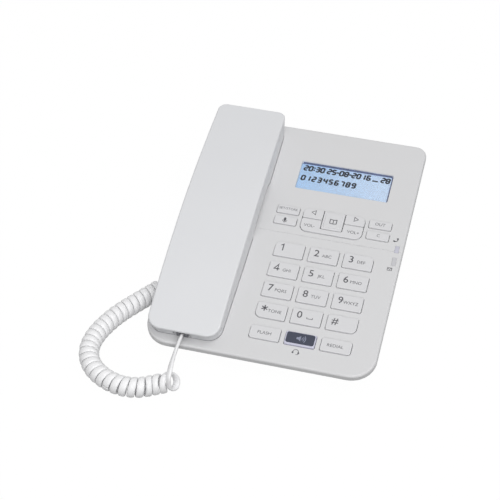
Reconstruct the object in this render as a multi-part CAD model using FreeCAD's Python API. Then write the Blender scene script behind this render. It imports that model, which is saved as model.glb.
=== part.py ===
"""Corded desk telephone: sloping base, handset on its left, curly handset cord. Millimetres, +Z up.

The sloping face has its own flat frame: x to the right, s up the slope from the front edge,
h square to the face. Pieces that belong to the face or the handset are drawn there and then tilted.
"""
import math
import os
from FreeCAD import Placement, Rotation, Vector
import Part

# Base: its width is the handset's strip and, to the right of it, the keys' strip.
KEY_SIDE_WIDTH = 103.5
FACE_LENGTH = 200.0
FACE_TILT = 11.0
FRONT_EDGE_HEIGHT = 14.0
BAND_HEIGHT = 4.4
FRONT_CORNER_RADIUS = 17.0
REAR_CORNER_RADIUS = 8.0
FACE_EDGE_FILLET = 1.6
COVER_WALL = 2.2
BOTTOM_WALL = 2.0
BOTTOM_RIM_INSET = 0.8
SIDE_DRAFT = 15.5
FRONT_DRAFT = 48.0
REAR_DRAFT = 4.0
FOOT_STAND = 2.0
FOOT_SINK = 0.8
FOOT_RADIUS = 6.0
FOOT_EDGE_X = 12.0
FOOT_EDGE_Y = 28.0
FOOT_FILLET = 0.6
CREASE_WIDTH = 0.7
CREASE_DEPTH = 0.3
CREASE_FROM_KEYPAD = 8.3

# Keys
KEY_WIDTH = 20.3
KEY_DEPTH = 12.0
KEY_GAP_X = 3.6
KEY_GAP_S = 5.15
KEYPAD_RIGHT_MARGIN = 17.9
KEYPAD_FRONT_MARGIN = 32.55
FUNCTION_ROW_FRONT = 15.7
FUNCTION_KEY_DEPTH = 10.1
FUNCTION_CORNER = 2.2
KEY_CORNER = 1.0
KEY_OUTER_CORNER = 4.0
KEY_STAND = 1.1
KEY_FILLET = 0.45
KEY_CLEARANCE = 0.35
KEY_TRAVEL = 1.2
KEY_FLANGE_WIDTH = 0.8
KEY_FLANGE_THICKNESS = 1.0
KEY_STEM_RADIUS = 2.0
STACK_GAP = 0.3
OVERRUN = 10.0
CUT_OVERRUN = 1.0
OPENING_UNDERCUT = 0.5
CLEAR_OF_ALL = 60.0
LEAST_CORNER = 0.2
MAT_THICKNESS = 1.0
MAT_RIM = 1.6
MAT_MARGIN = 2.0
SIDE_KEY_WIDTH = 15.6
SIDE_KEY_DEPTH = 6.6
SIDE_KEY_GAP_X = 3.1
SIDE_KEY_GAP_S = 2.9
SIDE_KEY_SHIFT = 0.9
CLUSTER_WIDTH = 43.2
CLUSTER_DEPTH = 19.6
CLUSTER_FROM_KEYPAD = 12.6
CLUSTER_FRONT_CORNER = 5.0
CLUSTER_REAR_CORNER = 4.0
CLUSTER_FLANGE_WIDTH = 0.1
ROCKER_DEPTH = 10.9
ROCKER_BRIDGE = 3.6
ROCKER_STEM_OFFSET = 15.0
ARROW_WIDTH = 13.8
ARROW_GAP = 0.5
BOOK_WIDTH = 14.6
BOOK_CLEARANCE = 0.45
BOOK_STEP_INSET = 1.4
BOOK_STEP_HEIGHT = 0.6

# Display
DISPLAY_WIDTH = 66.2
DISPLAY_DEPTH = 24.9
DISPLAY_FROM_CLUSTER = 16.9
DISPLAY_CORNER = 1.2
LENS_RECESS = 0.9
LENS_FIT = 0.1
LENS_FLANGE_WIDTH = 1.5
LENS_FLANGE_THICKNESS = 0.8
PANEL_MARGIN = 2.6
PANEL_THICKNESS = 2.6

# Lights
LIGHT_WIDTH = 3.0
LIGHT_EDGE_MARGIN = 3.0
LIGHT_FIT = 0.1
LIGHT_NECK = 4.0
LIGHT_FOOT_SHIFT = 2.4
LIGHTS = {"in_use_light": (7.5, 6.0), "message_light": (-3.5, 7.0)}

# Board and fasteners
BOARD_THICKNESS = 1.6
BOARD_EDGE_LEFT = 7.0
BOARD_EDGE_RIGHT = 5.0
BOARD_FRONT = 12.0
BOARD_CORNER = 1.0
BOARD_FRONT_RIGHT_CORNER = 8.0
BOARD_BEHIND_DISPLAY = 6.0
BOARD_BOSS_RADIUS = 2.6
BOARD_BOSS_EDGE = 3.3
SCREW_RADIUS = 1.25
SCREW_THREAD_FIT = 0.05
SCREW_HEAD_RADIUS = 2.5
SCREW_HEAD_HEIGHT = 1.6
CASE_BOSS_RADIUS = 3.0
CASE_BOSS_CLEARANCE = 0.5
CASE_SCREW_LENGTH = 9.0
CASE_SCREW_SINK = 1.0
CASE_SCREW_FRONT = 20.0
CASE_SCREW_REAR_MARGIN = 12.0
CASE_SCREW_RIGHT_FRONT = 11.5
CASE_SCREW_RIGHT_REAR = 23.5

# Handset
HANDSET_LEFT_MARGIN = 2.8
HANDSET_HALF_WIDTH = 24.35
HANDSET_BOW = 0.8
HANDSET_BOW_S = 105.0
HANDSET_BOW_RADIUS = 5000.0
HANDSET_SIDE_SLOPE = 0.02
HANDSET_CUP_SLOPE = 0.4
HANDSET_NEAR_END = 7.2
HANDSET_NEAR_SLOPE = 0.34
HANDSET_FAR_END = 194.0
HANDSET_FAR_SLOPE = 0.29
HANDSET_NEAR_CORNER = 9.5
HANDSET_FAR_CORNER = 6.0
ARCH_RADIUS = 700.0
ARCH_TOP_S = 124.0
ARCH_TOP_H = 19.9
MOUTH_DEPTH = 5.0
EAR_DEPTH = 10.0
GRIP_GAP = 5.0
MOUTH_RAMP = (88.0, 104.0)
EAR_RAMP = (140.0, 152.0)
RAMP_RADIUS = 10.0
RAMP_SPREAD = 0.7
HANDSET_WALL = 2.0
HANDSET_SPLIT = 7.6
HANDSET_FILLET = 1.2
WELL_CLEARANCE = 0.3
WELL_WALL = 1.8
SCOOP_RADIUS = 25.0
SCOOP_DEPTH = 5.0
SCOOP_HALF_WIDTH = 19.0
EAR_CENTRE_S = 172.5
RECEIVER_RADIUS = 14.0
RECEIVER_HEIGHT = 7.0
RECEIVER_STEP = 0.6
EAR_HOLE_RADIUS = 1.0
EAR_HOLE_RING = 6.0
MOUTH_HOLE_RADIUS = 0.8
MOUTH_HOLE_SPACING = 4.0
MICROPHONE_S = 36.0
MICROPHONE_RADIUS = 4.85
MICROPHONE_HEIGHT = 6.5
BOOT_WALL = 1.8
HANDSET_SCREW_S = (110.5, 131.5)
HANDSET_SCREW_SINK = 0.2
HANDSET_POST_RADIUS = 3.2
HANDSET_SCREW_LENGTH = 7.0
WEIGHT_SIZE = (24.0, 30.0, 5.0)
WEIGHT_S = 48.0
WEIGHT_CORNER = 2.0

# Hook switch
PLUNGER_OFFSET_X = 14.05
PLUNGER_S = 175.0
PLUNGER_SIZE = (8.0, 10.0)
PLUNGER_CLEARANCE = 0.35
PLUNGER_REST_GAP = 0.35
PLUNGER_RISE = 4.0
PLUNGER_FLANGE_WIDTH = 1.5
PLUNGER_FLANGE_THICKNESS = 1.5
PLUNGER_STEM_RADIUS = 2.0
SPRING_LENGTH = 4.6
SPRING_RADIUS = 3.2
SPRING_WIRE_RADIUS = 0.4
SPRING_TURNS = 2.75
SPRING_SEAT_GAP = 0.1
SWITCH_SIZE = (12.0, 20.0, 8.0)
SWITCH_LEG = 1.5
SWITCH_FLOOR = 1.5

# Sockets and plugs
PLUG_WIDTH = 7.6
PLUG_HEIGHT = 5.0
PLUG_LENGTH = 11.0
PLUG_FIT = 0.2
PLUG_FILLET = 0.4
PLUG_LATCH_WIDTH = 3.2
PLUG_LATCH_HEIGHT = 0.7
PLUG_LATCH_ROOT = 0.2
PLUG_LATCH_SETBACK = 1.0
SOCKET_WALL = 1.2
SOCKET_DEPTH = 12.0
HANDSET_SLOT_WIDTH = 12.0
HANDSET_PLUG_H = 4.3
HANDSET_PLUG_OFFSET_X = -0.05
HANDSET_PLUG_REAR_S = 5.6
HANDSET_SOCKET_INSET = 0.8
SIDE_SOCKET_FROM_FRONT = 46.7
SIDE_SOCKET_Z = 8.2
SIDE_PLUG_FROM_LEFT = 10.1
SIDE_PLUG_PROUD = 1.2
SIDE_SOCKET_MOUTH_FROM_LEFT = 5.1
SIDE_SOCKET_LIP = 0.6
LINE_SOCKET_OPENING = (9.9, 6.8)
HEADSET_SOCKET_OPENING = (8.0, 6.0)
REAR_SOCKET_Z = 10.0
LINE_SOCKET_X = 34.0
HEADSET_SOCKET_X = 12.0
SOCKET_CUT_CLEARANCE = 0.3
SOCKET_FOOT_LAP = 0.5

# Loose pieces in the base
LOUDSPEAKER_RADIUS = 25.0
LOUDSPEAKER_PLACE = (26.0, 50.0)
LOUDSPEAKER_RIM = 3.0
LOUDSPEAKER_CONE_HEIGHT = 8.0
LOUDSPEAKER_MAGNET_RADIUS = 13.0
LOUDSPEAKER_MAGNET_HEIGHT = 6.0
LOUDSPEAKER_STEP = 2.0
LOUDSPEAKER_CONE_WALL = 3.0
LOUDSPEAKER_BOWL_INSET = 5.0
GRILLE_HOLE_RADIUS = 1.2
GRILLE_PITCH = 5.0
GRILLE_RINGS = 3
ROOM_MICROPHONE_PLACE = (56.0, -70.0)
ROOM_MICROPHONE_RADIUS = 4.85
ROOM_MICROPHONE_HEIGHT = 4.0
BASE_WEIGHT_SIZE = (44.0, 70.0, 4.0)
BASE_WEIGHT_PLACE = (-41.0, 8.0)

# Cord
WIRE_RADIUS = 1.7
COIL_RADIUS = 5.1
COIL_TURNS = 29
COIL_START_ANGLE = 70.0
COIL_END_ANGLE = 215.0
# The first turn stands open: more pitch, and its plane swung towards the front.
FIRST_TURN_EXTRA = 3.0
FIRST_TURN_SWING = 45.0
COIL_LEAD_IN = 1.0
LEAD_GAP = 0.5
ROUTE_ROUNDING = 0.45
# Cord points run from the base's front left corner at table height.
COIL_ROUTE = [
    (32.1, -28.2, 11.0), (20.5, -31.3, 7.4), (10.7, -36.5, 7.0), (0.3, -38.3, 7.0), (-10.9, -35.9, 7.0),
    (-20.8, -30.5, 7.0), (-28.5, -22.5, 7.0), (-32.4, -12.5, 7.0), (-32.7, -2.9, 7.0), (-30.7, 7.1, 7.0),
    (-26.7, 17.7, 7.0), (-22.1, 26.7, 7.0), (-16.7, 34.9, 7.0), (-11.0, 43.3, 7.0), (-5.3, 51.5, 7.0),
]
LEAD_MIDDLE = [(27.0, -2.3, 19.3), (27.3, -12.3, 19.4), (27.7, -21.5, 19.4), (28.6, -28.2, 19.1)]
LEAD_STRAIGHT = 4.0
TAIL_STRAIGHT = 6.0
TAIL_GAP = 0.1

# Worked out from the sizes above
TILT = math.radians(FACE_TILT)
RISE_PER_S = math.sin(TILT)
RUN_PER_S = math.cos(TILT)
FRONT_MOST = FACE_EDGE_FILLET * (RUN_PER_S + RISE_PER_S - 1.0)
REAR_MOST = FACE_LENGTH * RUN_PER_S + BAND_HEIGHT * RISE_PER_S
DEPTH_CENTRE = (FRONT_MOST + REAR_MOST) / 2.0
BASE_WIDTH = HANDSET_LEFT_MARGIN + 2.0 * HANDSET_HALF_WIDTH + KEY_SIDE_WIDTH
RIGHT_EDGE = BASE_WIDTH / 2.0
FLOOR_TOP = FOOT_STAND + BOTTOM_WALL
KEYPAD_RIGHT = RIGHT_EDGE - KEYPAD_RIGHT_MARGIN
KEY_PITCH_X = KEY_WIDTH + KEY_GAP_X
KEY_PITCH_S = KEY_DEPTH + KEY_GAP_S
KEYPAD_LEFT = KEYPAD_RIGHT - 2.0 * KEY_PITCH_X - KEY_WIDTH
KEYPAD_CENTRE = (KEYPAD_LEFT + KEYPAD_RIGHT) / 2.0
KEYPAD_REAR = KEYPAD_FRONT_MARGIN + 3.0 * KEY_PITCH_S + KEY_DEPTH
CLUSTER_LEFT = KEYPAD_CENTRE - CLUSTER_WIDTH / 2.0
CLUSTER_RIGHT = KEYPAD_CENTRE + CLUSTER_WIDTH / 2.0
CLUSTER_FRONT = KEYPAD_REAR + CLUSTER_FROM_KEYPAD
CLUSTER_REAR = CLUSTER_FRONT + CLUSTER_DEPTH
DISPLAY_LEFT = KEYPAD_CENTRE - DISPLAY_WIDTH / 2.0
DISPLAY_RIGHT = KEYPAD_CENTRE + DISPLAY_WIDTH / 2.0
DISPLAY_FRONT = CLUSTER_REAR + DISPLAY_FROM_CLUSTER
DISPLAY_REAR = DISPLAY_FRONT + DISPLAY_DEPTH
FLANGE_TOP = -COVER_WALL - STACK_GAP
FLANGE_LOW = FLANGE_TOP - KEY_FLANGE_THICKNESS
MAT_TOP = FLANGE_LOW - KEY_TRAVEL - STACK_GAP
MAT_LOW = MAT_TOP - MAT_THICKNESS
STEM_LOW = MAT_LOW - STACK_GAP
BOARD_TOP = STEM_LOW - KEY_TRAVEL - STACK_GAP
BOARD_LOW = BOARD_TOP - BOARD_THICKNESS
BOARD_REAR = DISPLAY_REAR + BOARD_BEHIND_DISPLAY
HANDSET_X = -RIGHT_EDGE + HANDSET_LEFT_MARGIN + HANDSET_HALF_WIDTH
HANDSET_PLUG_X = HANDSET_X + HANDSET_PLUG_OFFSET_X
WELL_RIGHT = HANDSET_X + HANDSET_HALF_WIDTH + HANDSET_BOW + WELL_CLEARANCE + WELL_WALL
BOARD_LEFT = WELL_RIGHT + BOARD_EDGE_LEFT
BOARD_RIGHT = RIGHT_EDGE - BOARD_EDGE_RIGHT
PLUNGER_X = HANDSET_X + PLUNGER_OFFSET_X
WELL_FLOOR = -EAR_DEPTH - WELL_CLEARANCE
WELL_UNDERSIDE = WELL_FLOOR - WELL_WALL
PLUNGER_TOP = -EAR_DEPTH - PLUNGER_REST_GAP
PLUNGER_FLANGE_TOP = WELL_UNDERSIDE - PLUNGER_RISE - STACK_GAP
PLUNGER_FLANGE_LOW = PLUNGER_FLANGE_TOP - PLUNGER_FLANGE_THICKNESS
SWITCH_TOP = PLUNGER_FLANGE_LOW - SPRING_LENGTH
SIDE_SOCKET_Y = SIDE_SOCKET_FROM_FRONT - DEPTH_CENTRE
SIDE_PLUG_REAR_X = SIDE_PLUG_FROM_LEFT - RIGHT_EDGE
SIDE_SOCKET_MOUTH_X = SIDE_SOCKET_MOUTH_FROM_LEFT - RIGHT_EDGE

DIGIT_ROWS = [
    ["key_star", "key_zero", "key_hash"],
    ["key_seven", "key_eight", "key_nine"],
    ["key_four", "key_five", "key_six"],
    ["key_one", "key_two", "key_three"],
]


def on_face(shape):
    """Tilt a shape from the face's flat frame into the telephone's frame."""
    placed = shape.copy()
    place = Vector(0, -DEPTH_CENTRE, FRONT_EDGE_HEIGHT)
    tilt = Placement(place, Rotation(Vector(1, 0, 0), FACE_TILT))
    placed.Placement = tilt.multiply(shape.Placement)
    return placed


def face_point(x, s, h):
    y = s * RUN_PER_S - h * RISE_PER_S - DEPTH_CENTRE
    z = s * RISE_PER_S + h * RUN_PER_S + FRONT_EDGE_HEIGHT
    return Vector(x, y, z)


def unit(vector):
    return Vector(vector).normalize()


def line(start, end):
    return Part.LineSegment(start, end).toShape()


def arc_from(start, heading, end):
    """Arc that leaves start along heading and reaches end."""
    chord = end - start
    side = chord - heading * chord.dot(heading)
    if side.Length < 1e-7:
        return line(start, end)
    side.normalize()
    radius = chord.dot(chord) / (2.0 * chord.dot(side))
    centre = start + side * radius
    middle = centre + unit((start - centre) + (end - centre)) * abs(radius)
    if (middle - start).dot(heading) < 0:
        middle = centre * 2.0 - middle
    return Part.Arc(start, middle, end).toShape()


def rounded_edges(points, radii, closed):
    """Lines joined by tangent arcs, one radius per corner."""
    count = len(points)
    entries = []
    for index, point in enumerate(points):
        inner = closed or 0 < index < count - 1
        if not inner or radii[index] <= 0:
            entries.append((point, point, None))
            continue
        before = unit(points[index - 1] - point)
        after = unit(points[(index + 1) % count] - point)
        half_turn = (math.pi - before.getAngle(after)) / 2.0
        reach = radii[index] * math.tan(half_turn)
        entries.append((point + before * reach, point + after * reach, before * -1.0))
    edges = []
    for index, (start, end, heading) in enumerate(entries):
        if heading is not None:
            edges.append(arc_from(start, heading, end))
        if closed or index < count - 1:
            following = entries[(index + 1) % count][0]
            if (following - end).Length > 1e-6:
                edges.append(line(end, following))
    return edges


def rounded_wire(points, radii):
    return Part.Wire(rounded_edges(points, radii, True))


def rectangle(left, front, right, rear, level=0.0):
    return [
        Vector(left, front, level), Vector(right, front, level),
        Vector(right, rear, level), Vector(left, rear, level),
    ]


def rounded_plate(box, radii, low, high):
    """Upright plate on a rectangle; radii run front left, front right, rear right, rear left."""
    left, front, right, rear = box
    outline = rounded_wire(rectangle(left, front, right, rear, low), radii)
    return Part.Face(outline).extrude(Vector(0, 0, high - low))


def grown(box, amount):
    left, front, right, rear = box
    return (left - amount, front - amount, right + amount, rear + amount)


def grown_radii(radii, amount):
    return [max(radius + amount, LEAST_CORNER) for radius in radii]


def block(box, low, high):
    left, front, right, rear = box
    return Part.makeBox(right - left, rear - front, high - low, Vector(left, front, low))


def post(x, s, radius, low, high):
    return Part.makeCylinder(radius, high - low, Vector(x, s, low))


def edges_at_height(shape, height):
    """Edges that lie wholly in the flat plane at a height."""
    box_edges = []
    for edge in shape.Edges:
        bounds = edge.BoundBox
        if abs(bounds.ZMin - height) < 1e-4 and abs(bounds.ZMax - height) < 1e-4:
            box_edges.append(edge)
    return box_edges


def handset_outline(level, grow):
    """The handset's plan at a height: near and far ends, with sides that bow out between them."""
    slope = HANDSET_SIDE_SLOPE if level > 0 else HANDSET_CUP_SLOPE
    half = HANDSET_HALF_WIDTH + level * slope + grow
    near = HANDSET_NEAR_END - level * HANDSET_NEAR_SLOPE - grow
    far = HANDSET_FAR_END + level * HANDSET_FAR_SLOPE + grow
    near_corner = HANDSET_NEAR_CORNER + grow
    far_corner = HANDSET_FAR_CORNER + grow
    left, right = HANDSET_X - half, HANDSET_X + half
    points = [
        Vector(left, near, level), Vector(right, near, level),
        Vector(right + HANDSET_BOW, HANDSET_BOW_S, level), Vector(right, far, level),
        Vector(left, far, level), Vector(left - HANDSET_BOW, HANDSET_BOW_S, level),
    ]
    radii = [near_corner, near_corner, HANDSET_BOW_RADIUS, far_corner, far_corner, HANDSET_BOW_RADIUS]
    return rounded_wire(points, radii)


def handset_block(grow):
    """The handset's whole outer shape, made larger all round by grow."""
    low = -EAR_DEPTH - OVERRUN
    high = ARCH_TOP_H + OVERRUN
    wires = [handset_outline(level, grow) for level in (low, 0.0, high)]
    body = Part.makeLoft(wires, True, True)

    first = -OVERRUN
    last = HANDSET_FAR_END + OVERRUN
    spread = grow * RAMP_SPREAD
    under = [
        (first, -MOUTH_DEPTH - grow), (MOUTH_RAMP[0] + spread, -MOUTH_DEPTH - grow),
        (MOUTH_RAMP[1] + spread, GRIP_GAP - grow), (EAR_RAMP[0] - spread, GRIP_GAP - grow),
        (EAR_RAMP[1] - spread, -EAR_DEPTH - grow), (last, -EAR_DEPTH - grow),
    ]
    side = HANDSET_X - 2.0 * HANDSET_HALF_WIDTH
    points = [Vector(side, s, h) for s, h in under]
    edges = rounded_edges(points, [0, RAMP_RADIUS, RAMP_RADIUS, RAMP_RADIUS, RAMP_RADIUS, 0], False)
    tops = [Vector(side, s, arch_height(s, grow)) for s in (last, ARCH_TOP_S, first)]
    edges.append(line(points[-1], tops[0]))
    edges.append(Part.Arc(*tops).toShape())
    edges.append(line(tops[2], points[0]))
    profile = Part.Face(Part.Wire(edges)).extrude(Vector(4.0 * HANDSET_HALF_WIDTH, 0, 0))
    return body.common(profile)


def arch_height(s, grow=0.0):
    """Height of the handset's arched back at s."""
    radius = ARCH_RADIUS + grow
    drop = radius - math.sqrt(radius ** 2 - (s - ARCH_TOP_S) ** 2)
    return ARCH_TOP_H + grow - drop


def handset_outer():
    whole = handset_block(0.0)
    rim = []
    for edge in whole.Edges:
        heights = [vertex.Point.z - arch_height(vertex.Point.y) for vertex in edge.Vertexes]
        if max(abs(height) for height in heights) < 1e-3:
            rim.append(edge)
    return whole.makeFillet(HANDSET_FILLET, rim)


def half_space(low, high):
    return block((-2.0 * BASE_WIDTH, -FACE_LENGTH, 2.0 * BASE_WIDTH, 2.0 * FACE_LENGTH), low, high)


def handset_shells():
    outer = handset_outer()
    inner = handset_block(-HANDSET_WALL)
    upper = outer.common(half_space(HANDSET_SPLIT, CLEAR_OF_ALL)).cut(inner)
    lower = outer.common(half_space(-CLEAR_OF_ALL, HANDSET_SPLIT)).cut(inner)
    for s in HANDSET_SCREW_S:
        top = arch_height(s) - HANDSET_WALL / 2.0
        upper = upper.fuse(post(HANDSET_X, s, HANDSET_POST_RADIUS, HANDSET_SPLIT, top))
        hole_end = handset_screw_seat() + HANDSET_SCREW_LENGTH + STACK_GAP
        hole_radius = SCREW_RADIUS + SCREW_THREAD_FIT
        upper = upper.cut(post(HANDSET_X, s, hole_radius, HANDSET_SPLIT - CUT_OVERRUN, hole_end))
        post_low = GRIP_GAP + HANDSET_SCREW_SINK
        lower = lower.fuse(post(HANDSET_X, s, HANDSET_POST_RADIUS, post_low, HANDSET_SPLIT))
        lower = lower.cut(post(HANDSET_X, s, hole_radius, -CLEAR_OF_ALL, HANDSET_SPLIT + CUT_OVERRUN))
        head_hole = SCREW_HEAD_RADIUS + STACK_GAP
        lower = lower.cut(post(HANDSET_X, s, head_hole, -CLEAR_OF_ALL, handset_screw_seat()))
    slot_low = HANDSET_PLUG_H - PLUG_HEIGHT / 2.0 - STACK_GAP
    lower = lower.cut(block(handset_slot_box(), slot_low, HANDSET_SPLIT))
    for x, s in ear_holes() + mouth_holes():
        radius = EAR_HOLE_RADIUS if s > ARCH_TOP_S else MOUTH_HOLE_RADIUS
        inside = -MOUTH_DEPTH + HANDSET_WALL + OPENING_UNDERCUT
        lower = lower.cut(post(x, s, radius, -EAR_DEPTH - CUT_OVERRUN, inside))
    return upper.removeSplitter(), lower.removeSplitter()


def handset_screw_seat():
    return GRIP_GAP + SCREW_HEAD_HEIGHT + HANDSET_SCREW_SINK


def handset_slot_box():
    near = HANDSET_NEAR_END - OVERRUN
    half = HANDSET_SLOT_WIDTH / 2.0
    rear = HANDSET_NEAR_END + HANDSET_WALL + HANDSET_SOCKET_INSET
    return (HANDSET_PLUG_X - half, near, HANDSET_PLUG_X + half, rear)


def ear_holes():
    places = [(HANDSET_X, EAR_CENTRE_S)]
    for step in range(6):
        angle = math.radians(60.0 * step)
        places.append((HANDSET_X + EAR_HOLE_RING * math.cos(angle),
                       EAR_CENTRE_S + EAR_HOLE_RING * math.sin(angle)))
    return places


def mouth_holes():
    return [(HANDSET_X + MOUTH_HOLE_SPACING * step, MICROPHONE_S) for step in (-1, 0, 1)]


def handset_screws():
    seat = handset_screw_seat()
    screws = []
    for s in HANDSET_SCREW_S:
        head = post(HANDSET_X, s, SCREW_HEAD_RADIUS, seat - SCREW_HEAD_HEIGHT, seat)
        screws.append(head.fuse(post(HANDSET_X, s, SCREW_RADIUS, seat, seat + HANDSET_SCREW_LENGTH)))
    return Part.makeCompound(screws)


def receiver_capsule():
    low = -EAR_DEPTH + HANDSET_WALL
    rim = post(HANDSET_X, EAR_CENTRE_S, RECEIVER_RADIUS, low, low + RECEIVER_HEIGHT * RECEIVER_STEP)
    magnet = post(HANDSET_X, EAR_CENTRE_S, RECEIVER_RADIUS * RECEIVER_STEP, low, low + RECEIVER_HEIGHT)
    return rim.fuse(magnet)


def handset_microphone():
    low = -MOUTH_DEPTH + HANDSET_WALL
    return post(HANDSET_X, MICROPHONE_S, MICROPHONE_RADIUS, low, low + MICROPHONE_HEIGHT)


def microphone_boot():
    low = -MOUTH_DEPTH + HANDSET_WALL
    high = low + MICROPHONE_HEIGHT - CUT_OVERRUN
    ring = post(HANDSET_X, MICROPHONE_S, MICROPHONE_RADIUS + BOOT_WALL, low, high)
    return ring.cut(handset_microphone())


def handset_weight():
    width, length, height = WEIGHT_SIZE
    box = (HANDSET_X - width / 2.0, WEIGHT_S, HANDSET_X + width / 2.0, WEIGHT_S + length)
    low = -MOUTH_DEPTH + HANDSET_WALL
    return rounded_plate(box, [WEIGHT_CORNER] * 4, low, low + height)


def socket(opening_width, opening_height, depth):
    """Socket block with its mouth at the origin, open towards -Y, cavity along +Y."""
    half = opening_width / 2.0 + SOCKET_WALL
    tall = opening_height / 2.0 + SOCKET_WALL
    body = Part.makeBox(2.0 * half, depth + SOCKET_WALL, 2.0 * tall, Vector(-half, 0, -tall))
    cavity = Part.makeBox(opening_width, depth, opening_height,
                          Vector(-opening_width / 2.0, 0, -opening_height / 2.0))
    return body.cut(cavity)


def plug():
    """Cord plug with its rear face at the origin, nose along +Y and its latch on top."""
    corner = Vector(-PLUG_WIDTH / 2.0, 0, -PLUG_HEIGHT / 2.0)
    body = Part.makeBox(PLUG_WIDTH, PLUG_LENGTH, PLUG_HEIGHT, corner)
    upright = [edge for edge in body.Edges if abs(edge.tangentAt(0).y) > 0.9]
    body = body.makeFillet(PLUG_FILLET, upright)
    latch_length = PLUG_LENGTH - 2.0 * PLUG_LATCH_SETBACK
    latch_corner = Vector(-PLUG_LATCH_WIDTH / 2.0, PLUG_LATCH_SETBACK, PLUG_HEIGHT / 2.0 - PLUG_LATCH_ROOT)
    latch = Part.makeBox(PLUG_LATCH_WIDTH, latch_length, PLUG_LATCH_HEIGHT + PLUG_LATCH_ROOT, latch_corner)
    return body.fuse(latch).removeSplitter()


def plug_socket():
    """Socket that takes a cord plug: its cavity also has room for the latch."""
    height = PLUG_HEIGHT + 2.0 * PLUG_FIT
    width = PLUG_WIDTH + 2.0 * PLUG_FIT
    body = socket(width, height, SOCKET_DEPTH)
    groove_low = height / 2.0 - PLUG_LATCH_ROOT
    groove_width = PLUG_LATCH_WIDTH + 2.0 * PLUG_FIT
    groove = Part.makeBox(groove_width, SOCKET_DEPTH, PLUG_LATCH_HEIGHT + PLUG_LATCH_ROOT,
                          Vector(-groove_width / 2.0, 0, groove_low))
    return body.cut(groove)


def moved(shape, place, turn=0.0):
    result = shape.copy()
    result.Placement = Placement(place, Rotation(Vector(0, 0, 1), turn))
    return result


def handset_socket():
    mouth = Vector(HANDSET_PLUG_X, HANDSET_NEAR_END + HANDSET_WALL + HANDSET_SOCKET_INSET, HANDSET_PLUG_H)
    return moved(plug_socket(), mouth)


def handset_plug():
    return moved(plug(), Vector(HANDSET_PLUG_X, HANDSET_PLUG_REAR_S, HANDSET_PLUG_H))


def finger_scoop(thickness):
    radius = SCOOP_RADIUS + thickness
    half = SCOOP_HALF_WIDTH + thickness
    middle = (MOUTH_RAMP[1] + EAR_RAMP[0]) / 2.0
    axis_start = Vector(HANDSET_X - half, middle, SCOOP_RADIUS - SCOOP_DEPTH)
    return Part.makeCylinder(radius, 2.0 * half, axis_start, Vector(1, 0, 0))


def key_outlines():
    """Every sliding key with its own opening: node, box, corner radii."""
    keys = []
    for row, names in enumerate(DIGIT_ROWS):
        for column, name in enumerate(names):
            left = KEYPAD_LEFT + column * KEY_PITCH_X
            front = KEYPAD_FRONT_MARGIN + row * KEY_PITCH_S
            radii = [KEY_CORNER] * 4
            if name == "key_star":
                radii[0] = KEY_OUTER_CORNER
            if name == "key_hash":
                radii[1] = KEY_OUTER_CORNER
            if name == "key_three":
                radii[2] = KEY_OUTER_CORNER
            if name == "key_one":
                radii[3] = KEY_OUTER_CORNER
            keys.append((name, (left, front, left + KEY_WIDTH, front + KEY_DEPTH), radii))
    for column, name in enumerate(["flash_key", "speaker_key", "redial_key"]):
        left = KEYPAD_LEFT + column * KEY_PITCH_X
        box = (left, FUNCTION_ROW_FRONT, left + KEY_WIDTH, FUNCTION_ROW_FRONT + FUNCTION_KEY_DEPTH)
        radii = [KEY_CORNER] * 4
        if column == 0:
            radii = [FUNCTION_CORNER, KEY_CORNER, KEY_CORNER, FUNCTION_CORNER]
        if column == 2:
            radii = [KEY_CORNER, FUNCTION_CORNER, FUNCTION_CORNER, KEY_CORNER]
        keys.append((name, box, radii))
    middle = CLUSTER_FRONT + CLUSTER_DEPTH / 2.0 + SIDE_KEY_SHIFT
    left_side = CLUSTER_LEFT - SIDE_KEY_GAP_X - SIDE_KEY_WIDTH
    right_side = CLUSTER_RIGHT + SIDE_KEY_GAP_X
    rear_row = middle + SIDE_KEY_GAP_S / 2.0
    front_row = middle - SIDE_KEY_GAP_S / 2.0 - SIDE_KEY_DEPTH
    for name, left, front in [("set_key", left_side, rear_row), ("mute_key", left_side, front_row),
                              ("out_key", right_side, rear_row), ("clear_key", right_side, front_row)]:
        box = (left, front, left + SIDE_KEY_WIDTH, front + SIDE_KEY_DEPTH)
        keys.append((name, box, [KEY_CORNER] * 4))
    return keys


def key_body(box, radii, flange_width):
    """Cap that stands through the face, flange under it and the stem that reaches the mat."""
    cap = rounded_plate(box, radii, FLANGE_LOW, KEY_STAND)
    cap = cap.makeFillet(KEY_FILLET, edges_at_height(cap, KEY_STAND))
    flange_radii = grown_radii(radii, flange_width)
    flange = rounded_plate(grown(box, flange_width), flange_radii, FLANGE_LOW, FLANGE_TOP)
    x, s = box_centre(box)
    stem = post(x, s, KEY_STEM_RADIUS, STEM_LOW, FLANGE_LOW)
    return cap.fuse([flange, stem]).removeSplitter()


def cluster_box():
    return (CLUSTER_LEFT, CLUSTER_FRONT, CLUSTER_RIGHT, CLUSTER_REAR)


def cluster_radii():
    return [CLUSTER_FRONT_CORNER] * 2 + [CLUSTER_REAR_CORNER] * 2


def book_box():
    left = KEYPAD_CENTRE - BOOK_WIDTH / 2.0
    return (left, CLUSTER_FRONT + ROCKER_BRIDGE + BOOK_CLEARANCE, left + BOOK_WIDTH, CLUSTER_REAR)


def book_key():
    lower = key_body(book_box(), [KEY_CORNER] * 4, CLUSTER_FLANGE_WIDTH)
    high = KEY_STAND + BOOK_STEP_HEIGHT
    top = rounded_plate(grown(book_box(), -BOOK_STEP_INSET), [KEY_CORNER] * 4, 0.0, high)
    top = top.makeFillet(KEY_FILLET, edges_at_height(top, high))
    return lower.fuse(top).removeSplitter()


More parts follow.
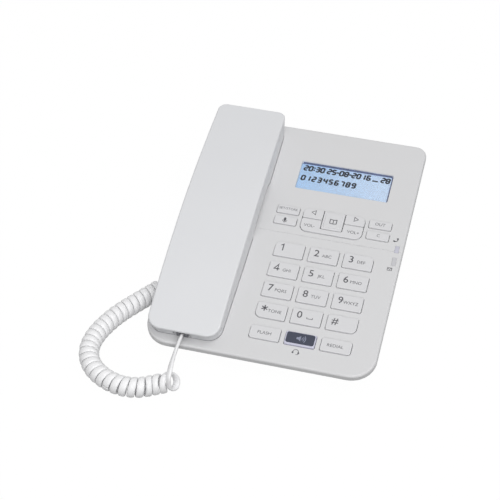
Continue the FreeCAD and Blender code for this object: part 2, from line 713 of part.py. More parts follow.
def arrow_box(name):
    front = CLUSTER_FRONT + ROCKER_DEPTH + ARROW_GAP
    if name == "left_key":
        return (CLUSTER_LEFT, front, CLUSTER_LEFT + ARROW_WIDTH, CLUSTER_REAR)
    return (CLUSTER_RIGHT - ARROW_WIDTH, front, CLUSTER_RIGHT, CLUSTER_REAR)


def arrow_key(name):
    radii = [KEY_CORNER] * 4
    radii[3 if name == "left_key" else 2] = CLUSTER_REAR_CORNER
    return key_body(arrow_box(name), radii, CLUSTER_FLANGE_WIDTH)


def rocker_plate(amount, low, high):
    left, front, right, rear = cluster_box()
    outer = rounded_plate(grown((left, front, right, front + ROCKER_DEPTH), amount),
                          grown_radii([CLUSTER_FRONT_CORNER] * 2 + [KEY_CORNER] * 2, amount), low, high)
    notch_left, notch_front, notch_right, _ = grown(book_box(), BOOK_CLEARANCE - amount)
    notch_box = (notch_left, notch_front, notch_right, rear + OVERRUN)
    notch = rounded_plate(notch_box, [KEY_CORNER] * 4, low, high)
    return outer.cut(notch)


def volume_rocker():
    cap = rocker_plate(0.0, FLANGE_LOW, KEY_STAND)
    cap = cap.makeFillet(KEY_FILLET, edges_at_height(cap, KEY_STAND))
    pieces = [rocker_plate(CLUSTER_FLANGE_WIDTH, FLANGE_LOW, FLANGE_TOP)]
    for x, s in rocker_stems():
        pieces.append(post(x, s, KEY_STEM_RADIUS, STEM_LOW, FLANGE_LOW))
    return cap.fuse(pieces).removeSplitter()


def rocker_stems():
    middle = CLUSTER_FRONT + ROCKER_DEPTH / 2.0
    return [(KEYPAD_CENTRE + side * ROCKER_STEM_OFFSET, middle) for side in (-1, 1)]


def box_centre(box):
    left, front, right, rear = box
    return ((left + right) / 2.0, (front + rear) / 2.0)


def stem_places():
    places = [box_centre(box) for _, box, _ in key_outlines()]
    for box in (book_box(), arrow_box("left_key"), arrow_box("right_key")):
        places.append(box_centre(box))
    return places + rocker_stems()


def display_box():
    return (DISPLAY_LEFT, DISPLAY_FRONT, DISPLAY_RIGHT, DISPLAY_REAR)


def lcd_lens():
    window_box = grown(display_box(), -LENS_FIT)
    window = rounded_plate(window_box, [DISPLAY_CORNER] * 4, -COVER_WALL, -LENS_RECESS)
    flange_low = -COVER_WALL - LENS_FLANGE_THICKNESS
    flange = block(grown(display_box(), LENS_FLANGE_WIDTH), flange_low, -COVER_WALL)
    return window.fuse(flange).removeSplitter()


def lcd_panel():
    top = -COVER_WALL - LENS_FLANGE_THICKNESS
    return block(grown(display_box(), PANEL_MARGIN), top - PANEL_THICKNESS, top)


def lcd_backlight():
    top = -COVER_WALL - LENS_FLANGE_THICKNESS - PANEL_THICKNESS
    return block(grown(display_box(), PANEL_MARGIN), BOARD_TOP, top)


def light_box(name):
    offset, length = LIGHTS[name]
    right = RIGHT_EDGE - LIGHT_EDGE_MARGIN
    front = KEYPAD_REAR + offset
    return (right - LIGHT_WIDTH, front, right, front + length)


def light_pipe(name):
    left, front, right, rear = grown(light_box(name), -LIGHT_FIT)
    window = block((left, front, right, rear), -LIGHT_NECK, 0.0)
    foot_box = (left - LIGHT_FOOT_SHIFT, front, right - LIGHT_FOOT_SHIFT, rear)
    foot = block(foot_box, BOARD_TOP, -LIGHT_NECK + CUT_OVERRUN)
    return window.fuse(foot).removeSplitter()


def board_bosses():
    left = BOARD_LEFT + BOARD_BOSS_EDGE
    right = BOARD_RIGHT - BOARD_BOSS_EDGE
    above_keys = CLUSTER_REAR + DISPLAY_FROM_CLUSTER / 2.0
    rear = BOARD_REAR - BOARD_BOSS_EDGE
    middle = KEYPAD_FRONT_MARGIN - KEY_GAP_S / 2.0
    return [(x, s) for s in (middle, above_keys, rear) for x in (left, right)]


def case_bosses():
    """Screw columns on the face's frame: x and s of each."""
    left = WELL_RIGHT + CASE_BOSS_RADIUS + CASE_BOSS_CLEARANCE
    rear = FACE_LENGTH - CASE_SCREW_REAR_MARGIN
    front_right = RIGHT_EDGE - CASE_SCREW_RIGHT_FRONT
    rear_right = RIGHT_EDGE - CASE_SCREW_RIGHT_REAR
    return [(left, CASE_SCREW_FRONT), (front_right, CASE_SCREW_FRONT), (left, rear), (rear_right, rear)]


def case_boss_column(x, s, radius):
    """Upright column from the floor to inside the face's wall, in the telephone's frame."""
    middle = face_point(x, s, -COVER_WALL / 2.0)
    top = middle.z - radius * math.tan(TILT)
    return Part.makeCylinder(radius, top - FLOOR_TOP, Vector(x, middle.y, FLOOR_TOP))


def main_board():
    radii = [BOARD_CORNER, BOARD_FRONT_RIGHT_CORNER, BOARD_CORNER, BOARD_CORNER]
    board = rounded_plate((BOARD_LEFT, BOARD_FRONT, BOARD_RIGHT, BOARD_REAR), radii, BOARD_LOW, BOARD_TOP)
    for x, s in board_bosses():
        board = board.cut(post(x, s, SCREW_RADIUS + SCREW_THREAD_FIT, BOARD_LOW, BOARD_TOP))
    board = on_face(board)
    for x, s in case_bosses():
        board = board.cut(case_boss_column(x, s, CASE_BOSS_RADIUS + CASE_BOSS_CLEARANCE))
    return board


def board_screws():
    screws = []
    for x, s in board_bosses():
        head = post(x, s, SCREW_HEAD_RADIUS, BOARD_LOW - SCREW_HEAD_HEIGHT, BOARD_LOW)
        screws.append(head.fuse(post(x, s, SCREW_RADIUS, BOARD_LOW, -COVER_WALL - STACK_GAP)))
    return Part.makeCompound(screws)


def keypad_mat():
    left = CLUSTER_LEFT - SIDE_KEY_GAP_X - SIDE_KEY_WIDTH - MAT_MARGIN
    right = CLUSTER_RIGHT + SIDE_KEY_GAP_X + SIDE_KEY_WIDTH + MAT_MARGIN
    box = (max(left, BOARD_LEFT), BOARD_FRONT, right, CLUSTER_REAR + MAT_MARGIN)
    mat = block(box, BOARD_TOP, MAT_TOP)
    mat = mat.cut(block(grown(box, -MAT_RIM), BOARD_TOP, MAT_LOW))
    for x, s in stem_places():
        mat = mat.cut(post(x, s, KEY_STEM_RADIUS + KEY_CLEARANCE, BOARD_TOP, MAT_TOP))
    for x, s in board_bosses():
        mat = mat.cut(post(x, s, BOARD_BOSS_RADIUS + KEY_CLEARANCE, BOARD_TOP, MAT_TOP))
    mat = on_face(mat)
    for x, s in case_bosses():
        mat = mat.cut(case_boss_column(x, s, CASE_BOSS_RADIUS + CASE_BOSS_CLEARANCE))
    return mat


def top_cover():
    outline = (-RIGHT_EDGE, 0.0, RIGHT_EDGE, FACE_LENGTH)
    radii = [FRONT_CORNER_RADIUS] * 2 + [REAR_CORNER_RADIUS] * 2
    cover = rounded_plate(outline, radii, -BAND_HEIGHT, 0.0)
    cover = cover.makeFillet(FACE_EDGE_FILLET, edges_at_height(cover, 0.0))
    hollow_radii = grown_radii(radii, -COVER_WALL)
    hollow = rounded_plate(grown(outline, -COVER_WALL), hollow_radii, -BAND_HEIGHT, -COVER_WALL)
    cover = cover.cut(hollow)
    below_face = half_space(-CLEAR_OF_ALL, -COVER_WALL / 2.0)
    cover = cover.fuse(handset_block(WELL_CLEARANCE + WELL_WALL).common(below_face))
    cover = cover.fuse(finger_scoop(WELL_WALL).common(below_face))
    cover = cover.cut(handset_block(WELL_CLEARANCE))
    cover = cover.cut(finger_scoop(0.0))
    for x, s in board_bosses():
        cover = cover.fuse(post(x, s, BOARD_BOSS_RADIUS, BOARD_TOP, -COVER_WALL))
        cover = cover.cut(post(x, s, SCREW_RADIUS + SCREW_THREAD_FIT, BOARD_TOP, -COVER_WALL))
    cuts = []
    low = -COVER_WALL - OPENING_UNDERCUT
    openings = [(box, key_radii) for _, box, key_radii in key_outlines()]
    openings.append((cluster_box(), cluster_radii()))
    for box, box_radii in openings:
        opening_radii = grown_radii(box_radii, KEY_CLEARANCE)
        cuts.append(rounded_plate(grown(box, KEY_CLEARANCE), opening_radii, low, CUT_OVERRUN))
    cuts.append(rounded_plate(display_box(), [DISPLAY_CORNER] * 4, low, CUT_OVERRUN))
    for name in LIGHTS:
        cuts.append(block(light_box(name), low, CUT_OVERRUN))
    plunger_opening = grown(plunger_box(), PLUNGER_CLEARANCE)
    cuts.append(block(plunger_opening, WELL_UNDERSIDE - CUT_OVERRUN, WELL_FLOOR + CUT_OVERRUN))
    crease = KEYPAD_REAR + CREASE_FROM_KEYPAD
    crease_front = crease - CREASE_WIDTH / 2.0
    crease_rear = crease + CREASE_WIDTH / 2.0
    crease_box = (WELL_RIGHT, crease_front, RIGHT_EDGE - FACE_EDGE_FILLET, crease_rear)
    cuts.append(block(crease_box, -CREASE_DEPTH, CUT_OVERRUN))
    cover = on_face(cover.cut(cuts))
    for x, s in case_bosses():
        cover = cover.fuse(case_boss_column(x, s, CASE_BOSS_RADIUS))
    for x, s in case_bosses():
        hole = Part.makeCylinder(SCREW_RADIUS + SCREW_THREAD_FIT, CASE_SCREW_LENGTH,
                                 Vector(x, face_point(x, s, -COVER_WALL / 2.0).y, FLOOR_TOP))
        cover = cover.cut(hole)
    return cover.removeSplitter()


def floor_corners(inset, level):
    """Corners of the bottom cover's outline at a height, inset from its outer skin."""
    side_tan = math.tan(math.radians(SIDE_DRAFT))
    rim_front = face_point(0, BOTTOM_RIM_INSET, -BAND_HEIGHT)
    rim_rear = face_point(0, FACE_LENGTH - BOTTOM_RIM_INSET, -BAND_HEIGHT)
    front = rim_front.y + (rim_front.z - level) * math.tan(math.radians(FRONT_DRAFT)) + inset
    rear = rim_rear.y - (rim_rear.z - level) * math.tan(math.radians(REAR_DRAFT)) - inset
    corners = []
    for y, side in [(front, -1), (front, 1), (rear, 1), (rear, -1)]:
        rim_height = rim_front.z + (y - rim_front.y) * math.tan(TILT)
        half = RIGHT_EDGE - BOTTOM_RIM_INSET - inset - (rim_height - level) * side_tan
        corners.append(Vector(side * half, y, level))
    return corners


def rim_corners(inset):
    amount = BOTTOM_RIM_INSET + inset
    flat = rectangle(-RIGHT_EDGE + amount, amount, RIGHT_EDGE - amount, FACE_LENGTH - amount)
    return [face_point(point.x, point.y, -BAND_HEIGHT) for point in flat]


def bottom_loft(inset, level):
    radii = grown_radii([FRONT_CORNER_RADIUS] * 2 + [REAR_CORNER_RADIUS] * 2, -BOTTOM_RIM_INSET - inset)
    wires = [rounded_wire(rim_corners(inset), radii), rounded_wire(floor_corners(inset, level), radii)]
    return Part.makeLoft(wires, True, True)


def bottom_cover():
    cover = bottom_loft(0.0, FOOT_STAND).cut(bottom_loft(BOTTOM_WALL, FLOOR_TOP))
    cuts = []
    for x, y in foot_places():
        cuts.append(post(x, y, FOOT_RADIUS, FOOT_STAND, FOOT_STAND + FOOT_SINK))
    for x, s in case_bosses():
        y = face_point(x, s, -COVER_WALL / 2.0).y
        cuts.append(post(x, y, SCREW_RADIUS + SCREW_THREAD_FIT, 0.0, FLOOR_TOP + CUT_OVERRUN))
        cuts.append(post(x, y, SCREW_HEAD_RADIUS + STACK_GAP, 0.0, case_screw_seat()))
    for x, y in grille_holes() + [ROOM_MICROPHONE_PLACE]:
        cuts.append(post(x, y, GRILLE_HOLE_RADIUS, 0.0, FLOOR_TOP + CUT_OVERRUN))
    for jack, opens_left in ((line_jack(), False), (headset_jack(), False), (handset_jack(), True)):
        bounds = jack.BoundBox
        left = bounds.XMin - SOCKET_CUT_CLEARANCE
        front = bounds.YMin - SOCKET_CUT_CLEARANCE
        right = bounds.XMax + SOCKET_CUT_CLEARANCE
        rear = bounds.YMax + SOCKET_CUT_CLEARANCE
        if opens_left:
            left -= OVERRUN
        else:
            rear += OVERRUN
        cuts.append(block((left, front, right, rear), FLOOR_TOP, bounds.ZMax + SOCKET_CUT_CLEARANCE))
    cuts.append(on_face(handset_block(WELL_CLEARANCE + WELL_WALL + STACK_GAP)))
    return cover.cut(cuts)


def case_screw_seat():
    return FOOT_STAND + CASE_SCREW_SINK


def foot_places():
    front_left, front_right, rear_right, rear_left = floor_corners(0.0, FOOT_STAND)
    places = []
    for corner in (front_left, front_right, rear_right, rear_left):
        inward_x = -math.copysign(FOOT_EDGE_X, corner.x)
        inward_y = -math.copysign(FOOT_EDGE_Y, corner.y)
        places.append((corner.x + inward_x, corner.y + inward_y))
    return places


def rubber_feet():
    feet = []
    for x, y in foot_places():
        foot = post(x, y, FOOT_RADIUS, 0.0, FOOT_STAND + FOOT_SINK)
        feet.append(foot.makeFillet(FOOT_FILLET, edges_at_height(foot, 0.0)))
    return Part.makeCompound(feet)


def case_screws():
    seat = case_screw_seat()
    screws = []
    for x, s in case_bosses():
        y = face_point(x, s, -COVER_WALL / 2.0).y
        head = post(x, y, SCREW_HEAD_RADIUS, seat - SCREW_HEAD_HEIGHT / 2.0, seat)
        screws.append(head.fuse(post(x, y, SCREW_RADIUS, seat, seat + CASE_SCREW_LENGTH - CASE_SCREW_SINK)))
    return Part.makeCompound(screws)


def grille_holes():
    places = [LOUDSPEAKER_PLACE]
    for ring in range(1, GRILLE_RINGS + 1):
        for step in range(6 * ring):
            angle = 2.0 * math.pi * step / (6 * ring)
            places.append((LOUDSPEAKER_PLACE[0] + ring * GRILLE_PITCH * math.cos(angle),
                           LOUDSPEAKER_PLACE[1] + ring * GRILLE_PITCH * math.sin(angle)))
    return places


def loudspeaker():
    x, y = LOUDSPEAKER_PLACE
    rim_top = FLOOR_TOP + LOUDSPEAKER_RIM
    cone_top = rim_top + LOUDSPEAKER_CONE_HEIGHT
    rim = post(x, y, LOUDSPEAKER_RADIUS, FLOOR_TOP, rim_top)
    cone_radius = LOUDSPEAKER_RADIUS - LOUDSPEAKER_STEP
    cone_foot = Vector(x, y, rim_top)
    cone = Part.makeCone(cone_radius, LOUDSPEAKER_MAGNET_RADIUS, LOUDSPEAKER_CONE_HEIGHT, cone_foot)
    magnet = post(x, y, LOUDSPEAKER_MAGNET_RADIUS, cone_top, cone_top + LOUDSPEAKER_MAGNET_HEIGHT)
    bowl_wide = LOUDSPEAKER_RADIUS - LOUDSPEAKER_CONE_WALL
    bowl_narrow = LOUDSPEAKER_MAGNET_RADIUS - LOUDSPEAKER_BOWL_INSET
    bowl_depth = cone_top - FLOOR_TOP - LOUDSPEAKER_STEP
    bowl = Part.makeCone(bowl_wide, bowl_narrow, bowl_depth, Vector(x, y, FLOOR_TOP))
    return rim.fuse([cone, magnet]).cut(bowl).removeSplitter()


def room_microphone():
    x, y = ROOM_MICROPHONE_PLACE
    return post(x, y, ROOM_MICROPHONE_RADIUS, FLOOR_TOP, FLOOR_TOP + ROOM_MICROPHONE_HEIGHT)


def base_weight():
    width, length, height = BASE_WEIGHT_SIZE
    x, y = BASE_WEIGHT_PLACE
    box = (x - width / 2.0, y - length / 2.0, x + width / 2.0, y + length / 2.0)
    return rounded_plate(box, [WEIGHT_CORNER] * 4, FLOOR_TOP, FLOOR_TOP + height)


def footed(shape):
    """Carry a socket down to the floor on a plain foot of its own outline."""
    bounds = shape.BoundBox
    height = bounds.ZMin + SOCKET_FOOT_LAP - FLOOR_TOP
    foot = Part.makeBox(bounds.XLength, bounds.YLength, height, Vector(bounds.XMin, bounds.YMin, FLOOR_TOP))
    return shape.fuse(foot).removeSplitter()


def rear_wall_y():
    """The rear wall's outer skin at floor level, where the sockets look out."""
    return floor_corners(0.0, FLOOR_TOP)[2].y - SOCKET_CUT_CLEARANCE


def line_jack():
    width, height = LINE_SOCKET_OPENING
    place = Vector(LINE_SOCKET_X, rear_wall_y(), REAR_SOCKET_Z)
    return footed(moved(socket(width, height, SOCKET_DEPTH), place, 180.0))


def headset_jack():
    width, height = HEADSET_SOCKET_OPENING
    place = Vector(HEADSET_SOCKET_X, rear_wall_y(), REAR_SOCKET_Z)
    return footed(moved(socket(width, height, SOCKET_DEPTH), place, 180.0))


def handset_jack():
    place = Vector(SIDE_PLUG_REAR_X + SIDE_PLUG_PROUD, SIDE_SOCKET_Y, SIDE_SOCKET_Z)
    jack = moved(plug_socket(), place, -90.0)
    bounds = jack.BoundBox
    length = bounds.XMin - SIDE_SOCKET_MOUTH_X
    corner = Vector(SIDE_SOCKET_MOUTH_X, bounds.YMin, bounds.ZMin)
    tunnel = Part.makeBox(length, bounds.YLength, bounds.ZLength, corner)
    lip = Vector(0, SIDE_SOCKET_LIP, SIDE_SOCKET_LIP)
    inner_width = bounds.YLength - 2.0 * SIDE_SOCKET_LIP
    inner_height = bounds.ZLength - 2.0 * SIDE_SOCKET_LIP
    way_in = Part.makeBox(length, inner_width, inner_height, corner + lip)
    return footed(jack.fuse(tunnel.cut(way_in)).removeSplitter())


def base_plug():
    return moved(plug(), Vector(SIDE_PLUG_REAR_X, SIDE_SOCKET_Y, SIDE_SOCKET_Z), -90.0)


def plunger_box():
    half_x, half_s = PLUNGER_SIZE[0] / 2.0, PLUNGER_SIZE[1] / 2.0
    return (PLUNGER_X - half_x, PLUNGER_S - half_s, PLUNGER_X + half_x, PLUNGER_S + half_s)


def hook_plunger():
    box = plunger_box()
    cap = block(box, PLUNGER_FLANGE_LOW, PLUNGER_TOP)
    cap = cap.makeFillet(KEY_FILLET, edges_at_height(cap, PLUNGER_TOP))
    flange = block(grown(box, PLUNGER_FLANGE_WIDTH), PLUNGER_FLANGE_LOW, PLUNGER_FLANGE_TOP)
    stem_low = SWITCH_TOP - PLUNGER_RISE - CUT_OVERRUN
    stem = post(PLUNGER_X, PLUNGER_S, PLUNGER_STEM_RADIUS, stem_low, PLUNGER_FLANGE_LOW)
    return cap.fuse([flange, stem]).removeSplitter()


def hook_switch():
    width, length, height = SWITCH_SIZE
    left, right = PLUNGER_X - width / 2.0, PLUNGER_X + width / 2.0
    front, rear = PLUNGER_S - length / 2.0, PLUNGER_S + length / 2.0
    body = block((left, front, right, rear), SWITCH_TOP - height, SWITCH_TOP)
    bore_low = SWITCH_TOP - height + SWITCH_FLOOR
    body = body.cut(post(PLUNGER_X, PLUNGER_S, PLUNGER_STEM_RADIUS + STACK_GAP, bore_low, SWITCH_TOP))
    for low, high in ((front, front + SWITCH_LEG), (rear - SWITCH_LEG, rear)):
        body = body.fuse(block((left, low, right, high), SWITCH_TOP - CUT_OVERRUN, WELL_UNDERSIDE))
    return body.removeSplitter()


def biarc_edges(start, start_way, end, end_way):
    """Two tangent arcs from start to end, leaving and arriving along the given ways."""
    span = end - start
    total = start_way + end_way
    along = span.dot(total)
    bend = 2.0 * (1.0 - start_way.dot(end_way))
    if bend < 1e-9:
        return [line(start, end)]
    reach = (-along + math.sqrt(along ** 2 + bend * span.dot(span))) / bend
    middle = (start + end + (start_way - end_way) * reach) * 0.5
    first = arc_from(start, start_way, middle)
    second_back = arc_from(end, end_way * -1.0, middle)
    return [first, second_back]


def tube(edges, radius, start, way):
    """Round tube along a chain of edges that leaves start along way."""
    path = Part.Wire(Part.__sortEdges__(edges))
    ring = Part.Wire(Part.Circle(start, way, radius).toShape())
    shell = Part.BRepOffsetAPI.MakePipeShell(path)
    shell.add(ring)
    shell.build()
    shell.makeSolid()
    solid = shell.shape()
    expected = math.pi * radius ** 2 * path.Length
    print("tube length %.1f volume over expected %.4f" % (path.Length, solid.Volume / expected))
    return solid


def winding(place_at, turns, per_turn, lead_in, lead_out, wire_radius):
    """Wound tube: place_at(turn) gives a point; the ends run straight by lead_in and lead_out."""
    steps = int(round(turns * per_turn))
    tiny = 1e-4
    points = []
    ways = []
    for step in range(steps + 1):
        turn = turns * step / steps
        points.append(place_at(turn))
        ways.append(unit(place_at(turn + tiny) - place_at(turn - tiny)))
    begin = points[0] - ways[0] * lead_in
    finish = points[-1] + ways[-1] * lead_out
    edges = [line(begin, points[0])]
    for index in range(steps):
        edges += biarc_edges(points[index], ways[index], points[index + 1], ways[index + 1])
    edges.append(line(points[-1], finish))
    return tube(edges, wire_radius, begin, ways[0]), begin, ways[0], finish, ways[-1]


def least_self_gap(place_at, turns, wire_radius):
    """Least gap between one turn and the next ones, measured on points."""
    per_turn = 24
    points = [place_at(index / per_turn) for index in range(int(turns * per_turn) + 1)]
    least = 1e9
    for index, point in enumerate(points):
        for other in points[index + per_turn // 2: index + 3 * per_turn // 2]:
            least = min(least, (other - point).Length)
    return least - 2.0 * wire_radius


def route_radii(points):
    """Each corner's arc radius: a share of its shorter run over the tangent of half its turn."""
    radii = [0.0]
    for index in range(1, len(points) - 1):
        before = points[index] - points[index - 1]
        after = points[index + 1] - points[index]
        shorter = min(before.Length, after.Length)
        radii.append(ROUTE_ROUNDING * shorter / math.tan(before.getAngle(after) / 2.0))
    radii.append(0.0)
    print("route radii", [round(radius, 1) for radius in radii[1:-1]])
    return radii


def path_sampler(edges):
    """Function that gives the point and the heading at a length along a chain of edges."""
    lengths = [edge.Length for edge in edges]
    total = sum(lengths)

    def at(distance):
        rest = distance
        index = 0
        while index < len(edges) - 1 and rest > lengths[index]:
            rest -= lengths[index]
            index += 1
        edge = edges[index]
        span = edge.LastParameter - edge.FirstParameter
        parameter = edge.FirstParameter + rest / lengths[index] * span
        return edge.valueAt(parameter), unit(edge.tangentAt(parameter))
    return at, total


def cord_points(places):
    corner = Vector(-RIGHT_EDGE, -DEPTH_CENTRE, 0)
    return [corner + Vector(*place) for place in places]


def curly_cord():
    """The curled stretch: its turns follow an axis laid on the table, wound left-handed."""
    points = cord_points(COIL_ROUTE)
    at, total = path_sampler(rounded_edges(points, route_radii(points), False))
    turns = COIL_TURNS + (COIL_END_ANGLE - COIL_START_ANGLE) / 360.0
    pitch = (total - FIRST_TURN_EXTRA) / turns
    up = Vector(0, 0, 1)

    def place_at(turn):
        closed = min(max(turn, 0.0), 1.0) ** 2
        centre, way = at(pitch * turn + FIRST_TURN_EXTRA * closed)
        side = unit(up.cross(way))
        lift = way.cross(side)
        swing = math.radians(FIRST_TURN_SWING) * (1.0 - closed)
        side = side * math.cos(swing) + way * math.sin(swing)
        angle = math.radians(COIL_START_ANGLE) + 2.0 * math.pi * turn
        return centre + lift * (COIL_RADIUS * math.cos(angle)) + side * (COIL_RADIUS * math.sin(angle))

    print("coil axis length %.1f turns %.2f" % (total, turns))
    print("least gap between turns %.2f" % least_self_gap(place_at, turns, WIRE_RADIUS))
    return winding(place_at, turns, 4, COIL_LEAD_IN, 2.0 * WIRE_RADIUS, WIRE_RADIUS)


def hook_spring():
    """Compression spring round the plunger's stem."""
    low = SWITCH_TOP + SPRING_WIRE_RADIUS + SPRING_SEAT_GAP
    climb = SPRING_LENGTH - 2.0 * (SPRING_WIRE_RADIUS + SPRING_SEAT_GAP)

    def place_at(turn):
        angle = 2.0 * math.pi * turn
        x = PLUNGER_X + SPRING_RADIUS * math.cos(angle)
        s = PLUNGER_S + SPRING_RADIUS * math.sin(angle)
        return Vector(x, s, low + climb * turn / SPRING_TURNS)

    print("least gap in spring %.2f" % least_self_gap(place_at, SPRING_TURNS, SPRING_WIRE_RADIUS))
    return winding(place_at, SPRING_TURNS, 4, SPRING_SEAT_GAP, SPRING_SEAT_GAP, SPRING_WIRE_RADIUS)[0]


def plain_stretch(points):
    """Plain tube along a route of straight runs and tangent arcs."""
    edges = rounded_edges(points, route_radii(points), False)
    return tube(edges, WIRE_RADIUS, points[0], unit(points[1] - points[0]))


def cord_pieces():
    coil, coil_start, start_way, coil_end, end_way = curly_cord()
    out_way = unit(face_point(0, -1, 0) - face_point(0, 0, 0))
    plug_rear = face_point(HANDSET_PLUG_X, HANDSET_PLUG_REAR_S, HANDSET_PLUG_H)
    lead_start = plug_rear + out_way * LEAD_GAP
    lead_end = [coil_start - start_way * LEAD_STRAIGHT, coil_start]
    lead = [lead_start] + cord_points(LEAD_MIDDLE) + lead_end
    tail_end = Vector(SIDE_PLUG_REAR_X - TAIL_GAP, SIDE_SOCKET_Y, SIDE_SOCKET_Z)
    tail = [coil_end, coil_end + end_way * TAIL_STRAIGHT, tail_end]
    print("coil start", coil_start, start_way, "coil end", coil_end, end_way)
    return {"curly_cord": coil, "cord_lead": plain_stretch(lead), "cord_tail": plain_stretch(tail)}


def build():
    upper, lower = handset_shells()
    nodes = {
        "top_cover": top_cover(), "bottom_cover": bottom_cover(), "lcd_lens": on_face(lcd_lens()),
        "lcd_panel": on_face(lcd_panel()), "lcd_backlight": on_face(lcd_backlight()),
        "main_board": main_board(), "keypad_mat": keypad_mat(), "board_screws": on_face(board_screws()),
        "case_screws": case_screws(), "rubber_feet": rubber_feet(), "loudspeaker": loudspeaker(),
        "room_microphone": room_microphone(), "base_weight": base_weight(), "line_jack": line_jack(),
        "headset_jack": headset_jack(), "handset_jack": handset_jack(), "base_plug": base_plug(),
        "hook_plunger": on_face(hook_plunger()), "hook_switch": on_face(hook_switch()),
        "hook_spring": on_face(hook_spring()), "handset_top_shell": on_face(upper),
        "handset_bottom_shell": on_face(lower), "receiver_capsule": on_face(receiver_capsule()),
        "handset_microphone": on_face(handset_microphone()), "microphone_boot": on_face(microphone_boot()),
        "handset_weight": on_face(handset_weight()), "handset_screws": on_face(handset_screws()),
        "handset_socket": on_face(handset_socket()), "handset_plug": on_face(handset_plug()),
        "book_key": on_face(book_key()), "volume_rocker": on_face(volume_rocker()),
    }
    for name in LIGHTS:
        nodes[name] = on_face(light_pipe(name))
    for name in ("left_key", "right_key"):
        nodes[name] = on_face(arrow_key(name))
    for name, box, radii in key_outlines():
        nodes[name] = on_face(key_body(box, radii, KEY_FLANGE_WIDTH))
    nodes.update(cord_pieces())
    return nodes


def main():
    os.makedirs("parts", exist_ok=True)
    for name, shape in sorted(build().items()):
        shape.exportStep("parts/%s.step" % name)
        print(name, "solids", len(shape.Solids), "valid", shape.isValid(), "volume %.1f" % shape.Volume)


if __name__ == "__main__":
    main()
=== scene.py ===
"""Corded desk telephone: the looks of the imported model, laid out as an add-on."""

import math

import bmesh
import bpy
from bpy.props import FloatProperty, FloatVectorProperty, IntProperty, PointerProperty
from mathutils import Matrix, Vector
from mathutils.kdtree import KDTree


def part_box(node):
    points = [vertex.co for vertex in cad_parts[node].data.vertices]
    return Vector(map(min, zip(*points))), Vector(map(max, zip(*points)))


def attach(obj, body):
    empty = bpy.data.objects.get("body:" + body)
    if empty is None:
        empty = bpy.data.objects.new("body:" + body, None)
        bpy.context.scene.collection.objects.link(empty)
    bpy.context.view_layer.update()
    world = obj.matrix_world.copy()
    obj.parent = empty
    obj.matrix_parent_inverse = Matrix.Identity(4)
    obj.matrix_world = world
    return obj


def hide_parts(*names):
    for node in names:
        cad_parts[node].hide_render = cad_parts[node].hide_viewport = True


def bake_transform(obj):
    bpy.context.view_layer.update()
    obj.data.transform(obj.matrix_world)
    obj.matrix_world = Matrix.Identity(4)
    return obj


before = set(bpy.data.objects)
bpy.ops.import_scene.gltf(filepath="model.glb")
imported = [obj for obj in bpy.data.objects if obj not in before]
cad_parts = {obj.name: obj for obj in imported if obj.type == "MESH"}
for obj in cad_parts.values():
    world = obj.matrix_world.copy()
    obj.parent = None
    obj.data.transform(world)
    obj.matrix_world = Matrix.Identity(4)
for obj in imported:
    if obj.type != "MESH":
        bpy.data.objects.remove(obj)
bpy.context.view_layer.update()

bl_info = {
    "name": "Corded desk telephone",
    "version": (1, 0, 0),
    "blender": (4, 5, 0),
    "location": "View3D > Sidebar > Telephone",
    "description": "Finishes, printing, display and curly cord of a desk telephone",
    "category": "Object",
}

WHITE = (1.0, 1.0, 1.0, 1.0)

# The sloping face: x across, s up the slope and h off the face, in millimetres.
MILLIMETRE = 0.001
FACE_TILT = math.radians(11.0)
FACE_FRONT = (0.0, -0.0987205, 0.014)
FACE = (
    Matrix.Translation(FACE_FRONT)
    @ Matrix.Rotation(FACE_TILT, 4, "X")
    @ Matrix.Scale(MILLIMETRE, 4)
)
CASE_TOP = 0.0
KEY_TOP = 1.1
BOOK_TOP = 1.7
PANEL_TOP = -3.0

# The camera's own axes, and its place in metres.
CAMERA_PLACE = Vector((0.16467, -0.74550, 0.72657))
CAMERA_RIGHT = Vector((0.96794, 0.25119, 0.0))
CAMERA_UP = Vector((-0.17037, 0.65653, 0.73481))
CAMERA_BACK = Vector((0.18457, -0.71125, 0.67827))
CAMERA_LENS = 108.0
CAMERA_SENSOR = 36.0

# The curly cord's route, in metres from the front left corner of the face on the floor.
CORNER = Vector((-0.0775, -0.0987205, 0.0))
COIL_ROUTE = [
    (0.0321, -0.0282, 0.0110), (0.0205, -0.0313, 0.0074), (0.0107, -0.0365, 0.0070),
    (0.0003, -0.0383, 0.0070), (-0.0109, -0.0359, 0.0070), (-0.0208, -0.0305, 0.0070),
    (-0.0285, -0.0225, 0.0070), (-0.0324, -0.0125, 0.0070), (-0.0327, -0.0029, 0.0070),
    (-0.0307, 0.0071, 0.0070), (-0.0267, 0.0177, 0.0070), (-0.0221, 0.0267, 0.0070),
    (-0.0167, 0.0349, 0.0070), (-0.0110, 0.0433, 0.0070), (-0.0036, 0.0541, 0.0070),
]
LEAD_ROUTE = [
    (0.0270, -0.0023, 0.0193), (0.0273, -0.0123, 0.0194), (0.0277, -0.0215, 0.0194),
    (0.0286, -0.0282, 0.0191),
]
# Where the cord leaves the handset and enters the base, in metres.
LEAD_START = Vector((-0.0504, -0.09454, 0.01919))
TAIL_END = Vector((-0.0675, -0.05202, 0.0082))
LEAD_STRAIGHT = 0.004
TAIL_STRAIGHT = 0.006
COIL_LEAD_IN = 0.001
COIL_LEAD_OUT = 0.0034
FIRST_TURN_EXTRA = 0.003
FIRST_TURN_SWING = math.radians(45.0)
COIL_START_ANGLE = math.radians(70.0)
COIL_END_ANGLE = math.radians(215.0)
POINTS_PER_TURN = 16
AXIS_RESOLUTION = 24
CORD_RESOLUTION = 3
# The turns of the curl that go into the cord's piece from the handset.
LEAD_TURNS = 8
# The lead's turn at the handset's plug, and the share of the lead that keeps all of it.
LEAD_TWIST = math.radians(29.0)
LEAD_HOLD = 0.2
